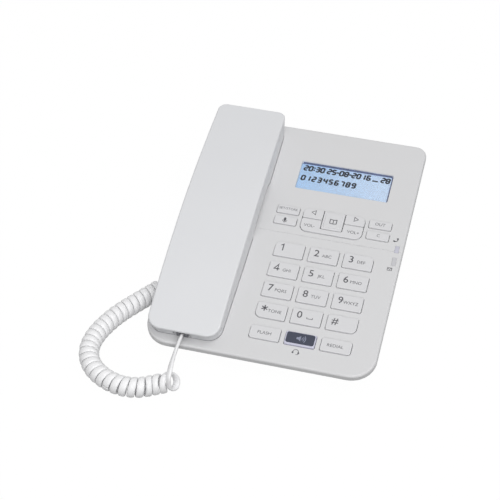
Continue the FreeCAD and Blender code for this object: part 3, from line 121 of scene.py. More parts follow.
# The share of the room between two turns that the cord fills, and the length along it within
# which a near point is still on the same turn.
BAND_SHARE = 0.94
SAME_TURN = 0.012
# Corners round the cord's section, and how square that section is: 2 is an ellipse.
CORD_SIDES = 14
CORD_FLATNESS = 2.5
# Taken off a list's length, this stays just short of its last place, so that one more follows.
LAST_PLACE_BACK = 1.001

# name: tone scale, tone amount, gloss low, gloss high, grain scale, grain depth in metres
FINISHES = {
    "case": (14.0, 0.012, 0.38, 0.50, 2600.0, 0.000012),
    "case_under": (14.0, 0.02, 0.45, 0.60, 1900.0, 0.00002),
    "handset": (14.0, 0.012, 0.32, 0.44, 2600.0, 0.000010),
    "key": (60.0, 0.012, 0.36, 0.48, 3000.0, 0.000008),
    "key_rim": (60.0, 0.02, 0.20, 0.30, 3000.0, 0.000004),
    "key_sign": (90.0, 0.03, 0.40, 0.52, 3000.0, 0.000004),
    "key_plate": (90.0, 0.05, 0.30, 0.42, 3000.0, 0.000008),
    # Painted shade of the display's window recess.
    "display_border": (60.0, 0.06, 0.40, 0.55, 2500.0, 0.000006),
    "segment": (120.0, 0.05, 0.40, 0.50, 3000.0, 0.000002),
    "light_pipe": (150.0, 0.05, 0.18, 0.28, 2500.0, 0.000006),
    "pale_light": (150.0, 0.05, 0.18, 0.28, 2500.0, 0.000006),
    "dark_ink": (700.0, 0.05, 0.45, 0.60, 5000.0, 0.000004),
    "pale_ink": (700.0, 0.05, 0.45, 0.60, 5000.0, 0.000004),
    "cord": (90.0, 0.02, 0.34, 0.46, 2400.0, 0.000012),
    "rubber": (120.0, 0.06, 0.70, 0.88, 2600.0, 0.00003),
    "mat": (60.0, 0.04, 0.55, 0.72, 2600.0, 0.000015),
    "board": (400.0, 0.16, 0.32, 0.48, 1500.0, 0.00003),
    "driver": (160.0, 0.10, 0.40, 0.60, 2200.0, 0.00003),
    "socket": (90.0, 0.02, 0.35, 0.50, 2600.0, 0.000012),
    "plug": (200.0, 0.02, 0.08, 0.16, 1500.0, 0.000004),
    # Painted shade: a darker copy of the clear plug, for the plug in the handset's slot.
    "plug_shade": (200.0, 0.04, 0.30, 0.45, 1500.0, 0.000004),
    "steel": (350.0, 0.06, 0.26, 0.42, 3000.0, 0.000008),
    "gold": (350.0, 0.05, 0.18, 0.30, 3000.0, 0.000004),
}
METALS = ("steel", "gold")
CLEAR_ALPHA = {"plug": 0.88}
# Finishes of CAD nodes that differ from the name of their slot.
SLOT_FINISH = {"speaker_key": "key_rim", "light_guide": "light_pipe", "foot": "rubber"}
# The handset plug wears the darker plug finish, which is painted shade of its slot.
NODE_FINISH = {"message_light": "pale_light", "handset_plug": "plug_shade"}
TONE_SPREAD = 4.0
GLOSS_PER_TONE = 3.0
GRAIN_STRENGTH = 0.6
# The display's paler colour, its share at the right, the fade's two ends in metres, and the glow,
# which is partly the panel's backlight and partly painted light that keeps the recessed panel from
# rendering dark.
DISPLAY_PALE = Vector((0.95, 0.97, 1.0))
DISPLAY_PALE_SHARE = 0.35
DISPLAY_FADE = (-0.01, 0.06)
DISPLAY_TONE = {"Scale": 45.0, "Amount": 0.02}
DISPLAY_GLOSS = {"Scale": 200.0, "Low": 0.25, "High": 0.35}
DISPLAY_BACKLIGHT_AND_PAINTED_LIGHT = 0.28
LENS_TONE = {"Colour": (0.82, 0.88, 0.94, 1.0), "Scale": 80.0, "Amount": 0.02}
LENS_GLOSS = {"Scale": 90.0, "Low": 0.03, "High": 0.10}
LENS_ALPHA = 0.03
LENS_SPECULAR = 0.12

# Printing. Capitals in Blender's own font are this tall at size 1.
CAP_PER_SIZE = 0.729
LETTER_RESOLUTION = 3
LETTER_EXTRUDE = 0.5
DIGIT_WEIGHT = 0.006
LETTER_WEIGHT = 0.0
# The least cosine that a mitred corner allows for.
MITRE_LIMIT = 0.4
INKS = ("dark_ink", "pale_ink")
DARK, PALE = 0, 1
ONLY_INK = 0

# The dialling keys: digit and letters, by rows from the far one, in millimetres on the face.
DIGIT_ROWS = {
    "key_one": ("1", ""), "key_two": ("2", "ABC"), "key_three": ("3", "DEF"),
    "key_four": ("4", "GHI"), "key_five": ("5", "JKL"), "key_six": ("6", "MNO"),
    "key_seven": ("7", "PQRS"), "key_eight": ("8", "TUV"), "key_nine": ("9", "WXYZ"),
    "key_star": ("*", "TONE"), "key_zero": ("0", ""), "key_hash": ("#", ""),
}
KEY_COLUMNS = 3
LAST_ROW = 3
KEYPAD_LEFT = -8.5
KEYPAD_FRONT = 32.55
KEY_PITCH_X = 23.9
KEY_PITCH_S = 17.15
DIGIT_PLACE = (5.3, 7.4)
LETTER_PLACE = (12.4, 6.0)
STAR_ANGLES = (30.0, 90.0, 150.0)
STAR_ARM = 2.3
FIGURE_STROKE = 0.75
SPACE_DROP = 0.6

# The other keys, in the order of their printing.
PRINTED_KEYS = (
    "flash_key", "redial_key", "set_key", "out_key", "clear_key", "left_key", "right_key",
    "volume_rocker", "book_key", "mute_key",
)
# Key: each word, the word's middle and its share of the lettering's height.
KEY_WORDS = {
    "flash_key": [("FLASH", 1.4, 20.8, 1.0)],
    "redial_key": [("REDIAL", 49.0, 20.6, 1.0)],
    "set_key": [("SET/STORE", -7.1, 124.8, 0.8)],
    "out_key": [("OUT", 57.9, 124.4, 1.0)],
    "clear_key": [("C", 58.4, 114.8, 1.0)],
    "volume_rocker": [("VOL-", 10.2, 113.6, 1.0), ("VOL+", 40.9, 113.9, 1.0)],
}

# The speaker key's dark plate, in millimetres: left, front, width and depth, then its height and
# corners. Its bevel is in metres.
SPEAKER_PLATE = (16.1, 16.9, 18.9, 8.4)
PLATE_STAND = 0.15
PLATE_SINK = 0.02
PLATE_CORNER = 1.4
PLATE_CORNER_POINTS = 6
PLATE_BEVEL = 0.00015
PLATE_BEVEL_STEPS = 2

# The display's window: left, right, front and rear.
DISPLAY_WINDOW = (-7.55, 58.65, 145.1, 170.0)
# Painted shade of the window's recess: the width of the dark sheet along the panel's right edge,
# the top of the dark strip over the recess's rear wall, and the thickness of both.
PAINTED_SHADE_SIDE = 1.2
PAINTED_SHADE_TOP = -0.95
PAINTED_SHADE_SHEET = 0.06
# Text, left end, middle line and the pitch of its wide figures.
DISPLAY_LINES = (
    ("20:30 25-08-20 16 __ 28", -5.8, 166.5, 3.45),
    ("0 123456789", -6.3, 157.4, 4.1),
)
NARROW_PITCH = {"1": 2.2, "-": 2.0, "_": 2.0, ":": 1.6, " ": 1.5}
DIGIT_WIDTH = 2.2
DIGIT_TALL = 3.9
SEGMENT_SIDES = 6
SEGMENT_LENGTH = 2.7
SEGMENT_WIDTH = 1.45
SEGMENT_THICKNESS = 0.04
SEGMENT_SLANT = 0.12
COLON_PLACES = (-0.25, 0.25)
COLON_REACH = 0.5
# The lit segments of each figure, and each segment's place and whether it stands upright.
LIT = {
    "0": "abcdef", "1": "bc", "2": "abged", "3": "abgcd", "4": "fgbc", "5": "afgcd",
    "6": "afgedc", "7": "abc", "8": "abcdefg", "9": "abcdfg", "-": "g", "_": "d", " ": "",
}
SEGMENT_PLACES = {
    "a": (0.0, 0.5, 0.0), "g": (0.0, 0.0, 0.0), "d": (0.0, -0.5, 0.0),
    "f": (-0.5, 0.25, 1.0), "b": (0.5, 0.25, 1.0), "e": (-0.5, -0.25, 1.0), "c": (0.5, -0.25, 1.0),
}

# The rear sockets' spring wires, in metres: piece, CAD node and number of wires.
CONTACT_ROWS = (("line_contacts", "line_jack", 6), ("headset_contacts", "headset_jack", 4))
CONTACT_PITCH = 0.00102
CONTACT_LENGTH = 0.0080
CONTACT_RADIUS = 0.00022
CONTACT_SIDES = 8
CONTACT_SLOPE = math.radians(78.0)
CONTACT_INSET = 0.0055
CONTACT_RISE = 0.0012

# The case screws, in metres. Points of their CAD node within the reach belong to one screw.
SCREW_REACH = 0.008
SCREW_HEAD_RADIUS = 0.0024
SCREW_HEAD_HEIGHT = 0.0016
SCREW_SHANK_RADIUS = 0.0012
SCREW_SIDES = 32
CROSS_ARM = 0.0015
CROSS_HALF = 0.00035
CROSS_DEPTH = 0.0009

# The stage, in metres. Each lamp has its place, a factor on the lamp power and its width.
FLOOR_DROP = -0.0001
LAMP_AIM = Vector((0.0, 0.0, 0.02))
LAMPS = (
    ("top_lamp", (0.45, -0.25, 1.65), 1.0, 1.2),
    ("front_lamp", (0.45, -1.90, 1.40), 2.2, 1.5),
)
SHADOW_SHARE = 0.12
FLOOR_TONE = 0.15
FLOOR_DRIFT = {"Colour": (FLOOR_TONE, FLOOR_TONE, FLOOR_TONE, 1.0), "Scale": 3.0, "Amount": 0.004}
FLOOR_ROUGHNESS = 0.9
FLOOR_GLOW = 1.12


def size_property(name, description, default, lowest, highest, unit="NONE"):
    return FloatProperty(
        name=name, description=description, default=default, min=lowest, max=highest, unit=unit,
    )


class PhoneSizes(bpy.types.PropertyGroup):
    """Sizes that a user would change."""

    print_height: size_property(
        "Print height", "How far printing stands off a surface, in millimetres", 0.03, 0.005, 0.2)
    digit_height: size_property(
        "Digit height", "Cap height of the dialling digits, in millimetres", 5.6, 2.0, 8.0)
    letter_height: size_property(
        "Letter height", "Cap height of the small lettering, in millimetres", 2.5, 0.8, 4.0)
    cord_width: size_property(
        "Cord width", "Width of the flat cord where its turns leave room", 0.0050, 0.002, 0.007,
        "LENGTH")
    cord_thickness: size_property(
        "Cord thickness", "Thickness of the flat cord", 0.0024, 0.001, 0.005, "LENGTH")
    coil_radius: size_property(
        "Coil radius", "Radius of the curl, to the middle of the cord", 0.00565, 0.003, 0.009,
        "LENGTH")
    coil_turns: IntProperty(
        name="Coil turns", description="Whole turns of the curl", default=29, min=5, max=60,
    )
    floor_size: size_property("Floor size", "Side of the floor", 6.0, 1.0, 20.0, "LENGTH")
    lamp_power: size_property(
        "Lamp power", "Power of the top lamp, which the front lamp follows", 9.3, 0.0, 200.0,
        "POWER")
    sky_strength: size_property("Sky strength", "Even light from all around", 0.42, 0.0, 2.0)


def colour_property(name, description, default):
    return FloatVectorProperty(
        name=name, description=description, default=default, size=3, min=0.0, max=1.0,
        subtype="COLOR_GAMMA",
    )


class PhoneColours(bpy.types.PropertyGroup):
    """Colours that a user would change, as they look on the screen."""

    case: colour_property("Case", "Upper case and band", (0.845, 0.845, 0.85))
    case_under: colour_property("Under case", "Lower case", (0.80, 0.80, 0.81))
    handset: colour_property("Handset", "Handset shells", (0.88, 0.884, 0.894))
    key: colour_property("Keys", "Key caps", (0.852, 0.852, 0.86))
    key_rim: colour_property("Speaker key rim", "Rim of the speaker key", (0.80, 0.80, 0.87))
    key_sign: colour_property("Speaker key sign", "Sign on the speaker key", (0.55, 0.57, 0.65))
    key_plate: colour_property("Speaker key plate", "Top of the speaker key", (0.21, 0.23, 0.30))
    display: colour_property("Display", "Lit display panel", (0.67, 0.795, 0.925))
    # Dark colour painted on the display's recess wall and right edge as shade.
    display_border: colour_property("Display border", "Shaded edge of the display",
                                    (0.38, 0.41, 0.55))
    segment: colour_property("Segments", "Lit display segments", (0.06, 0.08, 0.14))
    light_pipe: colour_property("Lights", "Unlit call light", (0.775, 0.775, 0.825))
    pale_light: colour_property("Message light", "Unlit message light", (0.79, 0.79, 0.805))
    dark_ink: colour_property("Dark ink", "Digits and dark signs", (0.31, 0.31, 0.33))
    pale_ink: colour_property("Pale ink", "Small lettering and pale signs", (0.35, 0.35, 0.37))
    cord: colour_property("Cord", "Curly cord", (0.975, 0.975, 0.98))
    rubber: colour_property("Rubber", "Feet and microphone boot", (0.24, 0.24, 0.25))
    mat: colour_property("Key mat", "Silicone mat under the keys", (0.52, 0.52, 0.54))
    board: colour_property("Board", "Circuit board", (0.12, 0.34, 0.20))
    driver: colour_property("Drivers", "Receiver, loudspeaker and microphones",
                            (0.16, 0.16, 0.17))
    socket: colour_property("Sockets", "Socket bodies", (0.70, 0.70, 0.71))
    plug: colour_property("Plugs", "Clear plugs", (0.86, 0.87, 0.88))
    # The clear plug darkened, as painted shade of the slot it sits in.
    plug_shade: colour_property("Handset plug", "Clear plug in its dark slot", (0.44, 0.44, 0.46))
    steel: colour_property("Steel", "Screws, spring and weights", (0.72, 0.72, 0.71))
    gold: colour_property("Contacts", "Gilded contacts", (0.86, 0.70, 0.36))


def linear(colour):
    """A screen colour as the shaders want it."""
    return tuple(
        value / 12.92 if value <= 0.04045 else ((value + 0.055) / 1.055) ** 2.4
        for value in colour
    ) + (1.0,)


# Nodes, for materials and for what repeats.

SOCKET_KINDS = {
    "Vector": "NodeSocketVector", "Colour": "NodeSocketColor", "Geometry": "NodeSocketGeometry",
    "Material": "NodeSocketMaterial", "Screw": "NodeSocketObject", "Count": "NodeSocketInt",
}


def add_socket(tree, label, way, value=None):
    """Gives a group a socket, whose kind goes by its label: a plain number unless listed."""
    kind = SOCKET_KINDS.get(label, "NodeSocketFloat")
    socket = tree.interface.new_socket(name=label, in_out=way, socket_type=kind)
    if value is not None:
        socket.default_value = value


def add_node(tree, kind, values=None, operation=None):
    """A new node with some of its inputs set, each by name or number."""
    node = tree.nodes.new(kind)
    if operation is not None:
        node.operation = operation
    for label, value in (values or {}).items():
        node.inputs[label].default_value = value
    return node


def link_all(tree, *rows):
    """Links nodes: each row is a node and its output, then a node and its input."""
    for source, given, target, taken in rows:
        tree.links.new(source.outputs[given], target.inputs[taken])


# Shader groups that several finishes share.

def noise_group(name, detail, inputs, output):
    """A shader group that starts from noise, with its named sockets, or the one made before."""
    group = bpy.data.node_groups.get(name)
    if group is not None:
        return group, None, None, None
    group = bpy.data.node_groups.new(name, "ShaderNodeTree")
    for label, value in inputs.items():
        add_socket(group, label, "INPUT", value)
    add_socket(group, output, "OUTPUT")
    entry = group.nodes.new("NodeGroupInput")
    exit_node = group.nodes.new("NodeGroupOutput")
    noise = add_node(group, "ShaderNodeTexNoise", {"Detail": detail})
    link_all(group, (entry, "Vector", noise, "Vector"), (entry, "Scale", noise, "Scale"))
    return group, entry, noise, exit_node


def tone_drift_group():
    """Slow, faint changes of tone, as in any large moulding."""
    inputs = {"Vector": None, "Colour": (0.8, 0.8, 0.8, 1.0), "Scale": 20.0, "Amount": 0.02}
    group, entry, noise, exit_node = noise_group("tone_drift", 3.0, inputs, "Colour")
    if entry is None:
        return group
    centred = add_node(group, "ShaderNodeMath", {1: 0.5}, "SUBTRACT")
    spread = add_node(group, "ShaderNodeMath", {2: 1.0}, "MULTIPLY_ADD")
    widened = add_node(group, "ShaderNodeMath", {1: TONE_SPREAD}, "MULTIPLY")
    toned = add_node(group, "ShaderNodeHueSaturation")
    link_all(
        group, (noise, "Fac", centred, 0), (entry, "Amount", widened, 0), (centred, 0, spread, 0),
        (widened, 0, spread, 1), (spread, 0, toned, "Value"), (entry, "Colour", toned, "Color"),
        (toned, "Color", exit_node, "Colour"),
    )
    return group


def uneven_gloss_group():
    """Roughness that wanders between two values, as handled plastic does."""
    inputs = {"Vector": None, "Scale": 60.0, "Low": 0.3, "High": 0.5}
    group, entry, noise, exit_node = noise_group("uneven_gloss", 4.0, inputs, "Roughness")
    if entry is None:
        return group
    ranged = add_node(group, "ShaderNodeMapRange", {"From Min": 0.3, "From Max": 0.7})
    link_all(
        group, (noise, "Fac", ranged, "Value"), (entry, "Low", ranged, "To Min"),
        (entry, "High", ranged, "To Max"), (ranged, "Result", exit_node, "Roughness"),
    )
    return group


def moulded_grain_group():
    """The fine pebbled grain of a spark-eroded mould."""
    inputs = {"Vector": None, "Scale": 2200.0}
    group, entry, noise, exit_node = noise_group("moulded_grain", 2.0, inputs, "Height")
    if entry is None:
        return group
    cells = add_node(group, "ShaderNodeTexVoronoi")
    joined = add_node(group, "ShaderNodeMath", {1: 0.5}, "MULTIPLY_ADD")
    link_all(
        group, (entry, "Vector", cells, "Vector"), (entry, "Scale", cells, "Scale"),
        (cells, "Distance", joined, 0), (noise, "Fac", joined, 2), (joined, 0, exit_node, "Height"),
    )
    return group


def placed_group(tree, group, values):
    """A shader group in a material, with this material's own values."""
    node = tree.nodes.new("ShaderNodeGroup")
    node.node_tree = group
    for label, value in values.items():
        node.inputs[label].default_value = value
    return node


# Finishes.

def new_material(name):
    """A new material: itself, its tree, its shader and its texture coordinates."""
    material = bpy.data.materials.new(name)
    material.use_nodes = True
    tree = material.node_tree
    return material, tree, tree.nodes["Principled BSDF"], tree.nodes.new("ShaderNodeTexCoord")


def tone_and_gloss(tree, shader, place, tone_values, gloss_values):
    """Gives a shader its drifting tone and uneven gloss, and returns the tone's node."""
    tone = placed_group(tree, tone_drift_group(), tone_values)
    gloss = placed_group(tree, uneven_gloss_group(), gloss_values)
    link_all(
        tree, (place, "Object", tone, "Vector"), (place, "Object", gloss, "Vector"),
        (tone, "Colour", shader, "Base Color"), (gloss, "Roughness", shader, "Roughness"),
    )
    return tone


def plain_finish(name, tree, shader, place):
    """A moulding, metal or ink, by its row of FINISHES."""
    tone_scale, tone_amount, gloss_low, gloss_high, grain_scale, grain_depth = FINISHES[name]
    colour = linear(getattr(bpy.context.scene.phone_colours, name))
    tone_and_gloss(
        tree, shader, place, {"Colour": colour, "Scale": tone_scale, "Amount": tone_amount},
        {"Scale": tone_scale * GLOSS_PER_TONE, "Low": gloss_low, "High": gloss_high},
    )
    grain = placed_group(tree, moulded_grain_group(), {"Scale": grain_scale})
    bump = add_node(tree, "ShaderNodeBump", {"Strength": GRAIN_STRENGTH, "Distance": grain_depth})
    link_all(
        tree, (place, "Object", grain, "Vector"), (grain, "Height", bump, "Height"),
        (bump, "Normal", shader, "Normal"),
    )
    if name in METALS:
        shader.inputs["Metallic"].default_value = 1.0
    if name in CLEAR_ALPHA:
        shader.inputs["Alpha"].default_value = CLEAR_ALPHA[name]


def display_finish(name, tree, shader, place):
    """The lit panel: pale blue, paler towards its right side. Its glow is partly backlight and
    partly painted light against the shade of its recess.
    """
    colour = Vector(linear(getattr(bpy.context.scene.phone_colours, name))[:3])
    pale = colour.lerp(DISPLAY_PALE, DISPLAY_PALE_SHARE)
    parts = add_node(tree, "ShaderNodeSeparateXYZ")
    start, end = DISPLAY_FADE
    across = add_node(tree, "ShaderNodeMapRange", {"From Min": start, "From Max": end})
    ramp = add_node(tree, "ShaderNodeValToRGB")
    for element, shade in zip(ramp.color_ramp.elements, (colour, pale)):
        element.color = tuple(shade) + (1.0,)
    tone = tone_and_gloss(tree, shader, place, DISPLAY_TONE, DISPLAY_GLOSS)
    link_all(
        tree, (place, "Object", parts, "Vector"), (parts, "X", across, "Value"),
        (across, "Result", ramp, "Fac"), (ramp, "Color", tone, "Colour"),
        (tone, "Colour", shader, "Emission Color"),
    )
    # Glow: partly backlight, partly painted light against the recess's shade.
    shader.inputs["Emission Strength"].default_value = DISPLAY_BACKLIGHT_AND_PAINTED_LIGHT


def lens_finish(name, tree, shader, place):
    """A clear window with faint smears in its gloss."""
    tone_and_gloss(tree, shader, place, LENS_TONE, LENS_GLOSS)
    shader.inputs["Alpha"].default_value = LENS_ALPHA
    shader.inputs["Specular IOR Level"].default_value = LENS_SPECULAR


SPECIAL_FINISHES = {"display": display_finish, "lens": lens_finish}


def finish(name):
    """The finish of that name, made the first time it is asked for."""
    material = bpy.data.materials.get("finish_" + name)
    if material is None:
        material, tree, shader, place = new_material("finish_" + name)
        SPECIAL_FINISHES.get(name, plain_finish)(name, tree, shader, place)
    return material


def wear_finish(piece, material):
    """Gives a CAD node a finish through its object's slots."""
    if not piece.material_slots:
        piece.data.materials.append(None)
    for slot in piece.material_slots:
        slot.link = "OBJECT"
        slot.material = material


# Making pieces.

def linked(name, data):
    """An object for some data, in the scene."""
    piece = bpy.data.objects.new(name, data)
    bpy.context.scene.collection.objects.link(piece)
    return piece


def new_piece(name, mesh, body):
    """An object for a finished mesh, riding on its body."""
    piece = linked(name, mesh)
    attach(piece, body)
    return piece


def mesh_of(build, name, materials):
    """A bmesh as a mesh with its materials, and the bmesh let go."""
    mesh = bpy.data.meshes.new(name)
    build.to_mesh(mesh)
    build.free()
    for material in materials:
        mesh.materials.append(material)
    return mesh


def evaluated_mesh(piece):
    """A plain mesh of what a curve, text or modifier stack gives."""
    bpy.context.view_layer.update()
    depsgraph = bpy.context.evaluated_depsgraph_get()
    return bpy.data.meshes.new_from_object(piece.evaluated_get(depsgraph))


def removed(piece):
    """Takes a helper object out of the scene, with its data."""
    data = piece.data
    bpy.data.objects.remove(piece)
    if isinstance(data, bpy.types.Mesh):
        bpy.data.meshes.remove(data)
    else:
        bpy.data.curves.remove(data)


def mesh_from_curve(name, curve):
    """A plain mesh of a curve or lettering, which is then removed."""
    holder = linked(name, curve)
    mesh = evaluated_mesh(holder)
    removed(holder)
    return mesh


def add_spline(curve, kind, places):
    """A new spline of a curve, through or along these places."""
    spline = curve.splines.new(kind)
    spline.points.add(len(places) - 1)
    for point, place in zip(spline.points, places):
        point.co = (*place, 1.0)
    return spline


def add_mesh(build, mesh, place, ink):
    """Adds a mesh at a place to a bmesh, with one material for its faces."""
    first = len(build.faces)
    mesh.transform(place)
    build.from_mesh(mesh)
    build.faces.ensure_lookup_table()
    for face in build.faces[first:]:
        face.material_index = ink
    bpy.data.meshes.remove(mesh)


def flat_prism(build, outline, low, high, ink):
    """A flat filled shape: its outline runs anticlockwise seen from above."""
    tops = [build.verts.new((x, s, high)) for x, s in outline]
    lows = [build.verts.new((x, s, low)) for x, s in outline]
    faces = [build.faces.new(tops), build.faces.new(lows[::-1])]
    for index in range(len(outline)):
        after = (index + 1) % len(outline)
        faces.append(build.faces.new((tops[index], lows[index], lows[after], tops[after])))
    for face in faces:
        face.material_index = ink


def flat_line(build, points, width, low, high, ink, closed=False):
    """A line of even width through the points, mitred at its corners."""
    points = [Vector(point) for point in points]
    count = len(points)
    rows = []
    for index, point in enumerate(points):
        ways = []
        if closed or index > 0:
            ways.append((point - points[index - 1]).normalized())
        if closed or index < count - 1:
            ways.append((points[(index + 1) % count] - point).normalized())
        way = sum(ways, Vector((0.0, 0.0))).normalized()
        across = Vector((-way.y, way.x))
        square = Vector((-ways[0].y, ways[0].x))
        reach = 0.5 * width / max(across.dot(square), MITRE_LIMIT)
        left, right = point + across * reach, point - across * reach
        rows.append([build.verts.new((p.x, p.y, h)) for p, h in
                     ((left, high), (right, high), (right, low), (left, low))])
    pairs = [(rows[index], rows[index + 1]) for index in range(count - 1)]
    if closed:
        pairs.append((rows[-1], rows[0]))
    faces = []
    for row, after in pairs:
        for corner in range(4):
            follow = (corner + 1) % 4
            faces.append(build.faces.new((row[corner], row[follow], after[follow], after[corner])))
    if not closed:
        faces.append(build.faces.new(rows[0][::-1]))
        faces.append(build.faces.new(rows[-1]))
    for face in faces:
        face.material_index = ink


def arc_points(centre, radius, start, end, count):
    """Points along an arc, angles in degrees."""
    angles = [math.radians(start + (end - start) * index / (count - 1)) for index in range(count)]
    return [(centre[0] + radius * math.cos(a), centre[1] + radius * math.sin(a)) for a in angles]


def oblong(left, front, right, rear):
    """The four corners of an oblong, anticlockwise."""
    return [(left, front), (right, front), (right, rear), (left, rear)]


def text_mesh(text, cap_height, thickness, weight):
    """Lettering as a closed mesh, its middle at the origin, its foot on z = 0."""
    curve = bpy.data.curves.new("lettering", "FONT")
    curve.body = text
    curve.size = 1.0
    curve.resolution_u = LETTER_RESOLUTION
    curve.offset = weight
    curve.extrude = LETTER_EXTRUDE
    mesh = mesh_from_curve("lettering", curve)
    xs = [vertex.co.x for vertex in mesh.vertices]
    middle = Vector(((min(xs) + max(xs)) / 2.0, CAP_PER_SIZE / 2.0, -LETTER_EXTRUDE))
    scale = cap_height / CAP_PER_SIZE
    mesh.transform(Matrix.Translation(-middle))
    mesh.transform(Matrix.Diagonal((scale, scale, thickness, 1.0)))
    return mesh


class Sheet:
    """Printing gathered for one body, in the face's millimetres."""

    def __init__(self, thickness):
        self.build = bmesh.new()
        self.thickness = thickness

    def text(self, text, x, s, h, cap_height, ink, weight=LETTER_WEIGHT):
        mesh = text_mesh(text, cap_height, self.thickness, weight)
        add_mesh(self.build, mesh, Matrix.Translation((x, s, h)), ink)

    def draw(self, strokes, x, s, h):
        for kind, ink, width, points in strokes:
            moved = [(x + px, s + ps) for px, ps in points]
            if kind == "filled":
                flat_prism(self.build, moved, h, h + self.thickness, ink)
            else:
                flat_line(self.build, moved, width, h, h + self.thickness, ink, kind == "closed")

    def piece(self, name, body, materials, slot):
        bmesh.ops.recalc_face_normals(self.build, faces=self.build.faces)
        mesh = mesh_of(self.build, name, materials)
        mesh.transform(FACE)
        return new_piece(name, mesh, body)


# Signs, in millimetres from their own middle. Each stroke has its kind, ink, width and points.

def arrow_sign(way):
    """An open triangle that points left or right."""
    points = ((1.5 * way, 0.0), (-1.3 * way, 1.8), (-1.3 * way, -1.8))
    return [("closed", PALE, 0.45, points)]


def star_sign():
    """Three bars across each other."""
    strokes = []
    for angle in STAR_ANGLES:
        way = Vector((math.cos(math.radians(angle)), math.sin(math.radians(angle))))
        strokes.append(("open", DARK, FIGURE_STROKE, (way * -STAR_ARM, way * STAR_ARM)))
    return strokes


def speaker_sign():
    """A horn with three waves."""
    horn = ((-2.6, -0.8), (-1.4, -0.8), (0.2, -2.1), (0.2, 2.1), (-1.4, 0.8), (-2.6, 0.8))
    strokes = [("filled", ONLY_INK, 0.0, horn)]
    for radius in (1.3, 2.4, 3.5):
        wave = arc_points((0.0, 0.0), radius, -42.0, 42.0, 9)
        strokes.append(("open", ONLY_INK, 0.42, wave))
    return strokes


DRAWN_FIGURES = {
    "1": [("open", DARK, FIGURE_STROKE, ((-1.3, 1.5), (0.3, 2.6), (0.3, -2.8)))],
    "4": [("open", DARK, FIGURE_STROKE, ((2.0, -1.3), (-1.6, -1.3), (0.8, 2.4), (0.8, -2.8)))],
    "*": star_sign(),
}
SPACE_SIGN = [("open", PALE, 0.4, ((-1.9, 0.7), (-1.9, -0.5), (1.9, -0.5), (1.9, 0.7)))]
BOOK_SIGN = [
    ("closed", DARK, 0.55,
     ((0.0, 1.5), (-2.3, 1.9), (-2.3, -1.5), (0.0, -1.9), (2.3, -1.5), (2.3, 1.9))),
    ("open", DARK, 0.55, ((0.0, 1.2), (0.0, -1.6))),
]
# A microphone: its capsule, its cradle and its stem.
MUTE_SIGN = [
    ("filled", DARK, 0.0, arc_points((0.0, 1.3), 0.85, 0.0, 180.0, 7)
     + arc_points((0.0, -0.2), 0.85, 180.0, 360.0, 7)),
    ("open", DARK, 0.4, arc_points((0.0, -0.1), 1.5, 180.0, 360.0, 9)),
    ("open", DARK, 0.5, ((0.0, -1.6), (0.0, -2.3))),
]
# A head band with two ear pads and a mouth arm.
HEADSET_SIGN = [
    ("open", PALE, 0.4, arc_points((0.0, 0.0), 1.9, 0.0, 180.0, 13)),
    ("filled", PALE, 0.0, oblong(-1.9 - 0.55, -1.3, -1.9 + 0.55, 0.0)),
    ("filled", PALE, 0.0, oblong(1.9 - 0.55, -1.3, 1.9 + 0.55, 0.0)),
    ("open", PALE, 0.35, ((1.9, -1.3), (1.7, -1.8), (0.4, -2.0))),
]
# A small handset seen from its side, its back to the lower right.
HANDSET_SIGN = [
    ("open", DARK, 0.6, arc_points((-1.0, 1.0), 2.3, -95.0, 5.0, 9)),
    ("filled", DARK, 0.0, oblong(-1.3 - 0.6, -0.9 - 0.6, -1.3 + 0.6, -0.9 + 0.6)),
    ("filled", DARK, 0.0, oblong(0.9 - 0.6, 1.3 - 0.6, 0.9 + 0.6, 1.3 + 0.6)),
]
# A closed envelope.
ENVELOPE_SIGN = [
    ("closed", DARK, 0.4, oblong(-1.5, -1.1, 1.5, 1.1)),
    ("open", DARK, 0.4, ((-1.3, 0.9), (0.0, -0.2), (1.3, 0.9))),
]
# Sign, its middle and the height of the surface below it.
KEY_SIGNS = {
    "left_key": (arrow_sign(-1.0), 11.0, 125.2, KEY_TOP),
    "right_key": (arrow_sign(1.0), 40.9, 125.2, KEY_TOP),
    "book_key": (BOOK_SIGN, 25.9, 119.4, BOOK_TOP),
    "mute_key": (MUTE_SIGN, -7.4, 114.6, KEY_TOP),
}
CASE_SIGNS = (
    (HEADSET_SIGN, 24.6, 11.2, CASE_TOP),
    (HANDSET_SIGN, 71.0, 114.2, CASE_TOP),
    (ENVELOPE_SIGN, 71.2, 89.4, CASE_TOP),
)


# Node trees for what repeats.

def node_tree(name, *labels):
    """An empty geometry tree with its named inputs."""
    tree = bpy.data.node_groups.new(name, "GeometryNodeTree")
    for label in ("Geometry",) + labels:
        add_socket(tree, label, "INPUT")
    add_socket(tree, "Geometry", "OUTPUT")
    return tree, tree.nodes.new("NodeGroupInput"), tree.nodes.new("NodeGroupOutput")


def finish_tree(tree, spots, entry, exit_node):
    """Ends a tree: instances made real, then their material."""
    real = add_node(tree, "GeometryNodeRealizeInstances")
    painted = add_node(tree, "GeometryNodeSetMaterial")
    link_all(
        tree, (spots, 0, real, 0), (real, 0, painted, "Geometry"),
        (entry, "Material", painted, "Material"), (painted, 0, exit_node, 0),
    )
    return tree


def grown_mesh(seed_mesh, tree, values):
    """The plain mesh that a tree grows from a seed mesh."""
    seed = linked("seed", seed_mesh)
    modifier = seed.modifiers.new("grow", "NODES")
    modifier.node_group = tree
    for item in tree.interface.items_tree:
        if item.in_out == "INPUT" and item.name in values:
            modifier[item.identifier] = values[item.name]
    mesh = evaluated_mesh(seed)
    seed.modifiers.remove(modifier)
    removed(seed)
    return mesh


